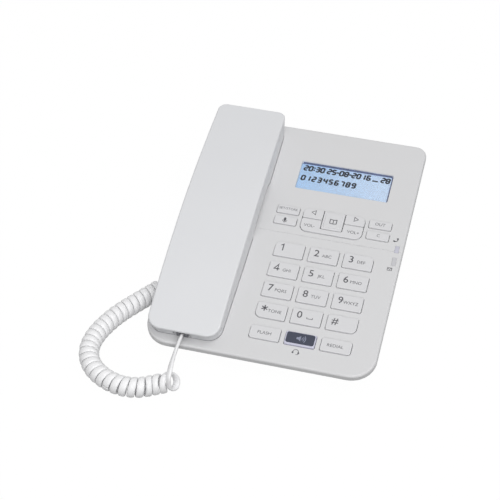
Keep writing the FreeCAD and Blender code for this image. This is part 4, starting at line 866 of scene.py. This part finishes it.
def segment_tree():
    """Six-sided display segments on points, each with its own turn and share of the length."""
    tree, entry, exit_node = node_tree(
        "display_segments", "Segment Length", "Segment Width", "Thickness", "Material")
    bar = add_node(tree, "GeometryNodeMeshCone",
                   {"Vertices": SEGMENT_SIDES, "Radius Top": 0.5, "Radius Bottom": 0.5})
    shaped = add_node(tree, "GeometryNodeTransform")
    size = add_node(tree, "ShaderNodeCombineXYZ", {"Z": 1.0})
    turn = add_node(tree, "GeometryNodeInputNamedAttribute", {"Name": "turn"})
    reach = add_node(tree, "GeometryNodeInputNamedAttribute", {"Name": "reach"})
    for attribute in (turn, reach):
        attribute.data_type = "FLOAT"
    angles = add_node(tree, "ShaderNodeCombineXYZ")
    rotation = add_node(tree, "FunctionNodeEulerToRotation")
    stretch = add_node(tree, "ShaderNodeCombineXYZ", {"Y": 1.0, "Z": 1.0})
    spots = add_node(tree, "GeometryNodeInstanceOnPoints")
    link_all(
        tree, (entry, "Thickness", bar, "Depth"), (entry, "Segment Length", size, "X"),
        (entry, "Segment Width", size, "Y"), (bar, "Mesh", shaped, "Geometry"),
        (size, 0, shaped, "Scale"), (turn, 0, angles, "Z"), (angles, 0, rotation, 0),
        (reach, 0, stretch, "X"), (entry, "Geometry", spots, "Points"),
        (shaped, 0, spots, "Instance"), (rotation, 0, spots, "Rotation"),
        (stretch, 0, spots, "Scale"),
    )
    return finish_tree(tree, spots, entry, exit_node)


def contact_tree():
    """A row of round spring wires, side by side."""
    tree, entry, exit_node = node_tree(
        "contact_row", "Count", "Pitch", "Wire Length", "Wire Radius", "Material")
    row = add_node(tree, "GeometryNodeMeshLine")
    step = add_node(tree, "ShaderNodeCombineXYZ")
    wire = add_node(tree, "GeometryNodeMeshCylinder", {"Vertices": CONTACT_SIDES})
    laid = add_node(tree, "GeometryNodeTransform", {"Rotation": (CONTACT_SLOPE, 0.0, 0.0)})
    spots = add_node(tree, "GeometryNodeInstanceOnPoints")
    link_all(
        tree, (entry, "Count", row, "Count"), (entry, "Pitch", step, "X"),
        (step, 0, row, "Offset"), (entry, "Wire Length", wire, "Depth"),
        (entry, "Wire Radius", wire, "Radius"), (wire, "Mesh", laid, "Geometry"),
        (row, 0, spots, "Points"), (laid, 0, spots, "Instance"),
    )
    return finish_tree(tree, spots, entry, exit_node)


def screw_tree():
    """One screw on each point."""
    tree, entry, exit_node = node_tree("screws_on_points", "Screw", "Material")
    pattern = add_node(tree, "GeometryNodeObjectInfo")
    spots = add_node(tree, "GeometryNodeInstanceOnPoints")
    link_all(
        tree, (entry, "Screw", pattern, "Object"), (entry, "Geometry", spots, "Points"),
        (pattern, "Geometry", spots, "Instance"),
    )
    return finish_tree(tree, spots, entry, exit_node)


# The curly cord.

def spline_points(name, controls, resolution):
    """Points along the smooth spline that has these control points."""
    curve = bpy.data.curves.new(name, "CURVE")
    curve.dimensions = "3D"
    spline = add_spline(curve, "NURBS", controls)
    spline.order_u = 3
    spline.use_endpoint_u = True
    spline.resolution_u = resolution
    mesh = mesh_from_curve(name, curve)
    points = [vertex.co.copy() for vertex in mesh.vertices]
    bpy.data.meshes.remove(mesh)
    return points


def run_of(points):
    """The distance along the points, up to each of them."""
    run = [0.0]
    for before, after in zip(points, points[1:]):
        run.append(run[-1] + (after - before).length)
    return run


def coil_axis_frames(points, distances):
    """Places along the curl's axis, at rising distances: centre, way, side and lift."""
    run = run_of(points)
    frames = []
    index = 0
    for wanted in distances:
        while index < len(points) - 2 and run[index + 1] < wanted:
            index += 1
        part = (wanted - run[index]) / (run[index + 1] - run[index])
        centre = points[index].lerp(points[index + 1], part)
        before = points[max(index - 1, 0)]
        after = points[min(index + 2, len(points) - 1)]
        way = (after - before).normalized()
        side = Vector((0.0, 0.0, 1.0)).cross(way).normalized()
        frames.append((centre, way, side, way.cross(side)))
    return frames


def cord_controls(sizes):
    """The control points of lead, curl and tail, and the outward way at each of the curl's."""
    route = [CORNER + Vector(place) for place in COIL_ROUTE]
    axis = spline_points("coil_axis", route, AXIS_RESOLUTION)
    turns = sizes.coil_turns + (COIL_END_ANGLE - COIL_START_ANGLE) / math.tau
    steps = round(turns * POINTS_PER_TURN)
    places = [turns * step / steps for step in range(steps + 1)]
    pitch = (run_of(axis)[-1] - FIRST_TURN_EXTRA) / turns
    distances = [pitch * turn + FIRST_TURN_EXTRA * min(turn, 1.0) ** 2 for turn in places]
    curl = []
    outward = []
    for turn, (centre, way, side, lift) in zip(places, coil_axis_frames(axis, distances)):
        swing = FIRST_TURN_SWING * (1.0 - min(turn, 1.0) ** 2)
        swung = side * math.cos(swing) + way * math.sin(swing)
        angle = COIL_START_ANGLE + turn * math.tau
        out = lift * math.cos(angle) + swung * math.sin(angle)
        curl.append(centre + out * sizes.coil_radius)
        outward.append(out)
    start_way = (curl[1] - curl[0]).normalized()
    end_way = (curl[-1] - curl[-2]).normalized()
    lead = [LEAD_START] + [CORNER + Vector(place) for place in LEAD_ROUTE]
    for back in (COIL_LEAD_IN + LEAD_STRAIGHT, COIL_LEAD_IN):
        lead.append(curl[0] - start_way * back)
    tail = [curl[-1] + end_way * ahead for ahead in (COIL_LEAD_OUT, COIL_LEAD_OUT + TAIL_STRAIGHT)]
    tail.append(TAIL_END)
    return lead, curl, tail, outward


def square_to(way, wanted):
    """The wanted way, made square to another."""
    return (wanted - way * wanted.dot(way)).normalized()


def flat_ways(points, lead_count, tail_count, outward_of):
    """The heading and the thin way of the flat cord at each point.

    In the curl the thin way points outward. The lead and the tail carry it on without a twist of
    their own. Towards the handset's plug the lead then turns, by LEAD_TWIST in all.
    """
    count = len(points)
    headings = [(points[min(index + 1, count - 1)] - points[max(index - 1, 0)]).normalized()
                for index in range(count)]
    thin = [square_to(heading, outward_of(index)) for index, heading in enumerate(headings)]
    for index in range(lead_count - 1, -1, -1):
        thin[index] = square_to(headings[index], thin[index + 1])
    for index in range(count - tail_count, count):
        thin[index] = square_to(headings[index], thin[index - 1])
    run = run_of(points)
    for index in range(lead_count):
        part = max(run[index] / run[lead_count] - LEAD_HOLD, 0.0) / (1.0 - LEAD_HOLD)
        turn = LEAD_TWIST * (1.0 - part * part * (3.0 - 2.0 * part))
        thin[index] = Matrix.Rotation(turn, 3, headings[index]) @ thin[index]
    return list(zip(headings, thin))


def band_widths(points, widest):
    """The flat cord's width at each point: less where the next turn lies closer."""
    run = run_of(points)
    tree = KDTree(len(points))
    for index, point in enumerate(points):
        tree.insert(point, index)
    tree.balance()
    reach = widest / BAND_SHARE
    widths = []
    for index, point in enumerate(points):
        least = reach
        for _, other, distance in tree.find_range(point, reach):
            if abs(run[other] - run[index]) > SAME_TURN:
                least = min(least, distance)
        widths.append(least * BAND_SHARE)
    return widths


def cord_mesh(name, points, ways, widths, thickness):
    """A flat, round-edged tube along the points, closed at both ends."""
    build = bmesh.new()
    power = 2.0 / CORD_FLATNESS
    rings = []
    uv_run = run_of(points)
    for point, (way, thin), width in zip(points, ways, widths):
        wide = way.cross(thin)
        ring = []
        for corner in range(CORD_SIDES):
            angle = math.tau * corner / CORD_SIDES
            cosine, sine = math.cos(angle), math.sin(angle)
            across = math.copysign(abs(cosine) ** power, cosine) * width / 2.0
            deep = math.copysign(abs(sine) ** power, sine) * thickness / 2.0
            ring.append(build.verts.new(point + wide * across + thin * deep))
        rings.append(ring)
    layer = build.loops.layers.uv.new("along_cord")
    for row, (ring, after) in enumerate(zip(rings, rings[1:])):
        for corner in range(CORD_SIDES):
            follow = (corner + 1) % CORD_SIDES
            face = build.faces.new((ring[corner], after[corner], after[follow], ring[follow]))
            face.smooth = True
            turns = (corner, corner, corner + 1, corner + 1)
            for loop, turn, place in zip(face.loops, turns, (row, row + 1, row + 1, row)):
                loop[layer].uv = (turn / CORD_SIDES, uv_run[place])
    build.faces.new(rings[0])
    build.faces.new(rings[-1][::-1])
    bmesh.ops.recalc_face_normals(build, faces=build.faces)
    return mesh_of(build, name, [finish("cord")])


# The steps that make the telephone, in order.

class PHONE_OT_camera(bpy.types.Operator):
    """Sets the camera where the photograph was taken from"""

    bl_idname = "phone.camera"
    bl_label = "Camera"

    def execute(self, context):
        camera = bpy.data.cameras.new("photo_camera")
        camera.lens = CAMERA_LENS
        camera.sensor_width = CAMERA_SENSOR
        holder = linked("photo_camera", camera)
        turn = Matrix((CAMERA_RIGHT, CAMERA_UP, CAMERA_BACK)).transposed()
        holder.matrix_world = Matrix.Translation(CAMERA_PLACE) @ turn.to_4x4()
        context.scene.camera = holder
        return {"FINISHED"}


class PHONE_OT_cord(bpy.types.Operator):
    """Makes the curly cord between the handset and the base"""

    bl_idname = "phone.cord"
    bl_label = "Curly cord"

    def execute(self, context):
        sizes = context.scene.phone_sizes
        lead, curl, tail, outward = cord_controls(sizes)
        points = spline_points("cord_line", lead + curl + tail, CORD_RESOLUTION)
        spread = (len(points) - 1) / (len(lead) + len(curl) + len(tail) - 1)
        lead_count = round(len(lead) * spread)
        tail_count = round(len(tail) * spread)

        def outward_of(index):
            place = min(max(index / spread - len(lead), 0.0), len(outward) - LAST_PLACE_BACK)
            whole = int(place)
            return outward[whole].lerp(outward[whole + 1], place - whole)

        ways = flat_ways(points, lead_count, tail_count, outward_of)
        widths = band_widths(points, sizes.cord_width)
        split = round((len(lead) + LEAD_TURNS * POINTS_PER_TURN) * spread)
        loose, rest = points[:split + 1], points[split:]
        lead_mesh = cord_mesh("cord_from_handset", loose, ways[:split + 1], widths[:split + 1],
                              sizes.cord_thickness)
        lead_piece = linked("cord_from_handset", lead_mesh)
        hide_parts("cord_lead")
        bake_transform(lead_piece)
        coil_mesh = cord_mesh("cord_to_base", rest, ways[split:], widths[split:],
                              sizes.cord_thickness)
        coil_piece = new_piece("cord_to_base", coil_mesh, "base")
        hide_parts("curly_cord", "cord_tail")
        return {"FINISHED"}


class PHONE_OT_finishes(bpy.types.Operator):
    """Gives every CAD node its finish"""

    bl_idname = "phone.finishes"
    bl_label = "Finishes"

    def execute(self, context):
        for name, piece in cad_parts.items():
            slot = piece.data.materials[0].name
            wear_finish(piece, finish(NODE_FINISH.get(name, SLOT_FINISH.get(slot, slot))))
        return {"FINISHED"}


class PHONE_OT_key_printing(bpy.types.Operator):
    """Prints the digits and letters on the dialling keys"""

    bl_idname = "phone.key_printing"
    bl_label = "Dialling key printing"

    def execute(self, context):
        sizes = context.scene.phone_sizes
        inks = [finish(name) for name in INKS]
        for index, (node, (digit, letters)) in enumerate(DIGIT_ROWS.items()):
            row, column = divmod(index, KEY_COLUMNS)
            left = KEYPAD_LEFT + column * KEY_PITCH_X
            front = KEYPAD_FRONT + (LAST_ROW - row) * KEY_PITCH_S
            digit_x, digit_s = left + DIGIT_PLACE[0], front + DIGIT_PLACE[1]
            letter_x, letter_s = left + LETTER_PLACE[0], front + LETTER_PLACE[1]
            sheet = Sheet(sizes.print_height)
            if digit in DRAWN_FIGURES:
                sheet.draw(DRAWN_FIGURES[digit], digit_x, digit_s, KEY_TOP)
            else:
                sheet.text(digit, digit_x, digit_s, KEY_TOP, sizes.digit_height, DARK,
                           DIGIT_WEIGHT)
            if letters:
                sheet.text(letters, letter_x, letter_s, KEY_TOP, sizes.letter_height, PALE)
            if digit == "0":
                sheet.draw(SPACE_SIGN, letter_x, letter_s - SPACE_DROP, KEY_TOP)
            sheet.piece(node + "_print", node, inks, "key")
        return {"FINISHED"}


class PHONE_OT_function_printing(bpy.types.Operator):
    """Prints the words and signs on the function keys, the rocker and the case"""

    bl_idname = "phone.function_printing"
    bl_label = "Function key printing"

    def execute(self, context):
        sizes = context.scene.phone_sizes
        inks = [finish(name) for name in INKS]
        for node in PRINTED_KEYS:
            sheet = Sheet(sizes.print_height)
            for text, x, s, share in KEY_WORDS.get(node, ()):
                sheet.text(text, x, s, KEY_TOP, sizes.letter_height * share, PALE)
            if node in KEY_SIGNS:
                sheet.draw(*KEY_SIGNS[node])
            sheet.piece(node + "_print", node, inks, "key")
        case = Sheet(sizes.print_height)
        for sign in CASE_SIGNS:
            case.draw(*sign)
        case.piece("case_print", "base", inks, "case")
        return {"FINISHED"}


class PHONE_OT_speaker_key(bpy.types.Operator):
    """Makes the dark plate on the speaker key, with its sign"""

    bl_idname = "phone.speaker_key"
    bl_label = "Speaker key"

    def execute(self, context):
        left, front, wide, deep = SPEAKER_PLATE
        low, high, corner = KEY_TOP - PLATE_SINK, KEY_TOP + PLATE_STAND, PLATE_CORNER
        near, far = front + corner, front + deep - corner
        outline = []
        for cx, cs, start in ((left + wide - corner, near, -90.0), (left + wide - corner, far, 0.0),
                              (left + corner, far, 90.0), (left + corner, near, 180.0)):
            outline += arc_points((cx, cs), corner, start, start + 90.0, PLATE_CORNER_POINTS)
        build = bmesh.new()
        flat_prism(build, outline, low, high, ONLY_INK)
        plate = mesh_of(build, "speaker_key_plate", [finish("key_plate")])
        plate.transform(FACE)
        piece = new_piece("speaker_key_plate", plate, "speaker_key")
        bevel = piece.modifiers.new("soft_edge", "BEVEL")
        bevel.width = PLATE_BEVEL
        bevel.segments = PLATE_BEVEL_STEPS
        sheet = Sheet(context.scene.phone_sizes.print_height)
        sheet.draw(speaker_sign(), left + wide / 2.0, front + deep / 2.0, high)
        sheet.piece("speaker_key_sign", "speaker_key", [finish("key_sign")], "speaker_key")
        return {"FINISHED"}


def segment_points(letter, x, s):
    """Place, turn and share of the length of each lit segment of one figure."""
    found = []
    if letter == ":":
        for step in COLON_PLACES:
            rise = step * DIGIT_TALL
            found.append(((x + rise * SEGMENT_SLANT, s + rise, PANEL_TOP), 0.0, COLON_REACH))
        return found
    if letter == "1":
        x -= DIGIT_WIDTH / 2.0
    for name in LIT[letter]:
        across, up, upright = SEGMENT_PLACES[name]
        rise = up * DIGIT_TALL
        place = (x + across * DIGIT_WIDTH + rise * SEGMENT_SLANT, s + rise, PANEL_TOP)
        turn = upright * (math.pi / 2.0 - SEGMENT_SLANT)
        found.append((place, turn, 1.0))
    return found


class PHONE_OT_display(bpy.types.Operator):
    """Makes the display's lit digits, and painted shade along the window's rear and right edges"""

    bl_idname = "phone.display"
    bl_label = "Display"

    def execute(self, context):
        segments = []
        for text, x, s, wide_pitch in DISPLAY_LINES:
            for letter in text:
                pitch = NARROW_PITCH.get(letter, wide_pitch)
                segments += segment_points(letter, x + pitch / 2.0, s)
                x += pitch
        places, turns, reaches = zip(*segments)
        seed = bpy.data.meshes.new("segments")
        seed.from_pydata(places, [], [])
        for label, values in (("turn", turns), ("reach", reaches)):
            seed.attributes.new(label, "FLOAT", "POINT").data.foreach_set("value", values)
        mesh = grown_mesh(seed, segment_tree(), {
            "Segment Length": SEGMENT_LENGTH, "Segment Width": SEGMENT_WIDTH,
            "Thickness": SEGMENT_THICKNESS, "Material": finish("segment")})
        mesh.transform(FACE)
        new_piece("display_digits", mesh, "base")
        # Painted shade: a dark strip over the recess's rear wall and a dark sheet along the panel's
        # right edge.
        shade_sheet = Sheet(PAINTED_SHADE_SHEET)
        left, right, front, rear = DISPLAY_WINDOW
        inner, lower = right - PAINTED_SHADE_SIDE, rear - PAINTED_SHADE_SHEET
        rear_wall = oblong(left, lower, right, rear)
        flat_prism(shade_sheet.build, rear_wall, PANEL_TOP, PAINTED_SHADE_TOP, ONLY_INK)
        side_strip = oblong(inner, front, right, lower)
        flat_prism(shade_sheet.build, side_strip, PANEL_TOP, PANEL_TOP + PAINTED_SHADE_SHEET, ONLY_INK)
        shade_sheet.piece("display_border", "base", [finish("display_border")], "display")
        return {"FINISHED"}


class PHONE_OT_contacts(bpy.types.Operator):
    """Puts the gilded spring wires in the two rear sockets"""

    bl_idname = "phone.contacts"
    bl_label = "Socket contacts"

    def execute(self, context):
        tree = contact_tree()
        for name, node, count in CONTACT_ROWS:
            lowest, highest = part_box(node)
            middle = (Vector(lowest) + Vector(highest)) / 2.0
            mesh = grown_mesh(bpy.data.meshes.new("contact_seed"), tree, {
                "Count": count, "Pitch": CONTACT_PITCH, "Wire Length": CONTACT_LENGTH,
                "Wire Radius": CONTACT_RADIUS, "Material": finish("gold")})
            start = Vector((middle.x - CONTACT_PITCH * (count - 1) / 2.0,
                            highest[1] - CONTACT_INSET, middle.z + CONTACT_RISE))
            mesh.transform(Matrix.Translation(start))
            new_piece(name, mesh, "base")
        return {"FINISHED"}


def node_islands(node, apart):
    """The box of each separate lump of a CAD node, told apart by their distance across."""
    lumps = []
    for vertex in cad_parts[node].data.vertices:
        place = vertex.co
        for lump in lumps:
            if (lump[0].xy - place.xy).length < apart:
                lump.append(place.copy())
                break
        else:
            lumps.append([place.copy()])
    boxes = []
    for lump in lumps:
        lowest = Vector([min(place[axis] for place in lump) for axis in range(3)])
        highest = Vector([max(place[axis] for place in lump) for axis in range(3)])
        boxes.append((lowest, highest))
    return boxes


def cross_screw(length):
    """A pan-headed screw with a cross recess, head down on z = 0."""
    curve = bpy.data.curves.new("screw_face", "CURVE")
    curve.dimensions = "2D"
    curve.fill_mode = "BOTH"
    curve.extrude = CROSS_DEPTH / 2.0
    arm, half = CROSS_ARM, CROSS_HALF
    cross = [(half, half), (arm, half), (arm, -half), (half, -half), (half, -arm), (-half, -arm),
             (-half, -half), (-arm, -half), (-arm, half), (-half, half), (-half, arm), (half, arm)]
    last_angle = 360.0 - 360.0 / SCREW_SIDES
    rim = arc_points((0.0, 0.0), SCREW_HEAD_RADIUS, 0.0, last_angle, SCREW_SIDES)
    for outline in (rim, cross):
        add_spline(curve, "POLY", [(x, y, 0.0) for x, y in outline]).use_cyclic_u = True
    face = mesh_from_curve("screw_face", curve)
    build = bmesh.new()
    add_mesh(build, face, Matrix.Translation((0.0, 0.0, CROSS_DEPTH / 2.0)), ONLY_INK)
    for radius, low, high in ((SCREW_HEAD_RADIUS, CROSS_DEPTH, SCREW_HEAD_HEIGHT),
                              (SCREW_SHANK_RADIUS, SCREW_HEAD_HEIGHT, length)):
        place = Matrix.Translation((0.0, 0.0, (low + high) / 2.0))
        bmesh.ops.create_cone(build, cap_ends=True, segments=SCREW_SIDES, radius1=radius,
                              radius2=radius, depth=high - low, matrix=place)
    return linked("screw_pattern", mesh_of(build, "screw_pattern", []))


class PHONE_OT_screws(bpy.types.Operator):
    """Makes the cross-headed screws under the base"""

    bl_idname = "phone.screws"
    bl_label = "Case screws"

    def execute(self, context):
        boxes = node_islands("case_screws", SCREW_REACH)
        places = [((low.x + high.x) / 2.0, (low.y + high.y) / 2.0, low.z) for low, high in boxes]
        seed = bpy.data.meshes.new("screw_seed")
        seed.from_pydata(places, [], [])
        pattern = cross_screw(boxes[0][1].z - boxes[0][0].z)
        mesh = grown_mesh(seed, screw_tree(), {"Screw": pattern, "Material": finish("steel")})
        removed(pattern)
        piece = new_piece("case_screw_heads", mesh, "base")
        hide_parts("case_screws")
        return {"FINISHED"}


def seen_share(tree, share):
    """How much of the plain white a ray sees: camera, mirror and glass rays see it."""
    rays = add_node(tree, "ShaderNodeLightPath")
    total = rays.outputs["Is Camera Ray"]
    for label in ("Is Glossy Ray", "Is Transmission Ray"):
        added = add_node(tree, "ShaderNodeMath", operation="MAXIMUM")
        tree.links.new(total, added.inputs[0])
        tree.links.new(rays.outputs[label], added.inputs[1])
        total = added.outputs[0]
    part = add_node(tree, "ShaderNodeMath", {1: share}, "MULTIPLY")
    tree.links.new(total, part.inputs[0])
    return part


def mix_seen(tree, lit, seen, share, output):
    """Ends a tree: its own light, mixed with the plain white that some rays see instead."""
    mixed = add_node(tree, "ShaderNodeMixShader")
    link_all(
        tree, (seen_share(tree, share), 0, mixed, "Fac"), (lit, 0, mixed, 1), (seen, 0, mixed, 2),
        (mixed, "Shader", tree.nodes[output], "Surface"),
    )


def floor_finish():
    """White paper that keeps a faint shadow."""
    material, tree, shader, place = new_material("floor_paper")
    tone = placed_group(tree, tone_drift_group(), FLOOR_DRIFT)
    shader.inputs["Roughness"].default_value = FLOOR_ROUGHNESS
    shader.inputs["Specular IOR Level"].default_value = 0.0
    glow = add_node(tree, "ShaderNodeEmission", {"Strength": FLOOR_GLOW})
    link_all(tree, (place, "Object", tone, "Vector"), (tone, "Colour", shader, "Base Color"))
    mix_seen(tree, shader, glow, 1.0 - SHADOW_SHARE, "Material Output")
    return material


def world_light(scene, strength):
    """Even light from all round, seen as plain white."""
    world = bpy.data.worlds.new("studio")
    world.use_nodes = True
    tree = world.node_tree
    light = tree.nodes["Background"]
    light.inputs["Color"].default_value = WHITE
    light.inputs["Strength"].default_value = strength
    seen = add_node(tree, "ShaderNodeBackground", {"Color": WHITE})
    mix_seen(tree, light, seen, 1.0, "World Output")
    scene.world = world


class PHONE_OT_stage(bpy.types.Operator):
    """Makes the pale floor, the soft lamps and the even surrounding light"""

    bl_idname = "phone.stage"
    bl_label = "Stage"

    def execute(self, context):
        sizes = context.scene.phone_sizes
        half = sizes.floor_size / 2.0
        corners = [(x, y, FLOOR_DROP) for x, y in oblong(-half, -half, half, half)]
        mesh = bpy.data.meshes.new("floor")
        mesh.from_pydata(corners, [], [(0, 1, 2, 3)])
        mesh.materials.append(floor_finish())
        floor = linked("floor", mesh)
        for name, place, power, size in LAMPS:
            lamp = bpy.data.lights.new(name, "AREA")
            lamp.shape = "DISK"
            lamp.size = size
            lamp.energy = sizes.lamp_power * power
            aim = (LAMP_AIM - Vector(place)).to_track_quat("-Z", "Y")
            linked(name, lamp).matrix_world = Matrix.Translation(place) @ aim.to_matrix().to_4x4()
        world_light(context.scene, sizes.sky_strength)
        context.scene.view_settings.view_transform = "Standard"
        return {"FINISHED"}


class PHONE_PT_panel(bpy.types.Panel):
    """Lists the sizes, the colours and the steps that make the telephone"""

    bl_idname = "PHONE_PT_panel"
    bl_label = "Corded desk telephone"
    bl_space_type = "VIEW_3D"
    bl_region_type = "UI"
    bl_category = "Telephone"

    def draw(self, context):
        for group in (context.scene.phone_sizes, context.scene.phone_colours):
            box = self.layout.box()
            for name in group.bl_rna.properties.keys():
                if name not in {"rna_type", "name"}:
                    box.prop(group, name)
        for operator in OPERATORS:
            self.layout.operator(operator.bl_idname)


OPERATORS = (
    PHONE_OT_camera, PHONE_OT_cord, PHONE_OT_finishes, PHONE_OT_key_printing,
    PHONE_OT_function_printing, PHONE_OT_speaker_key, PHONE_OT_display, PHONE_OT_contacts,
    PHONE_OT_screws, PHONE_OT_stage,
)
CLASSES = (PhoneSizes, PhoneColours) + OPERATORS + (PHONE_PT_panel,)


def register():
    for kind in CLASSES:
        bpy.utils.register_class(kind)
    bpy.types.Scene.phone_sizes = PointerProperty(type=PhoneSizes)
    bpy.types.Scene.phone_colours = PointerProperty(type=PhoneColours)


def unregister():
    del bpy.types.Scene.phone_colours
    del bpy.types.Scene.phone_sizes
    for kind in reversed(CLASSES):
        bpy.utils.unregister_class(kind)


def main():
    register()
    bpy.ops.phone.camera()
    bpy.ops.phone.cord()
    bpy.ops.phone.finishes()
    bpy.ops.phone.key_printing()
    bpy.ops.phone.function_printing()
    bpy.ops.phone.speaker_key()
    bpy.ops.phone.display()
    bpy.ops.phone.contacts()
    bpy.ops.phone.screws()
    bpy.ops.phone.stage()
    bpy.context.view_layer.update()


if __name__ == "__main__":
    main()
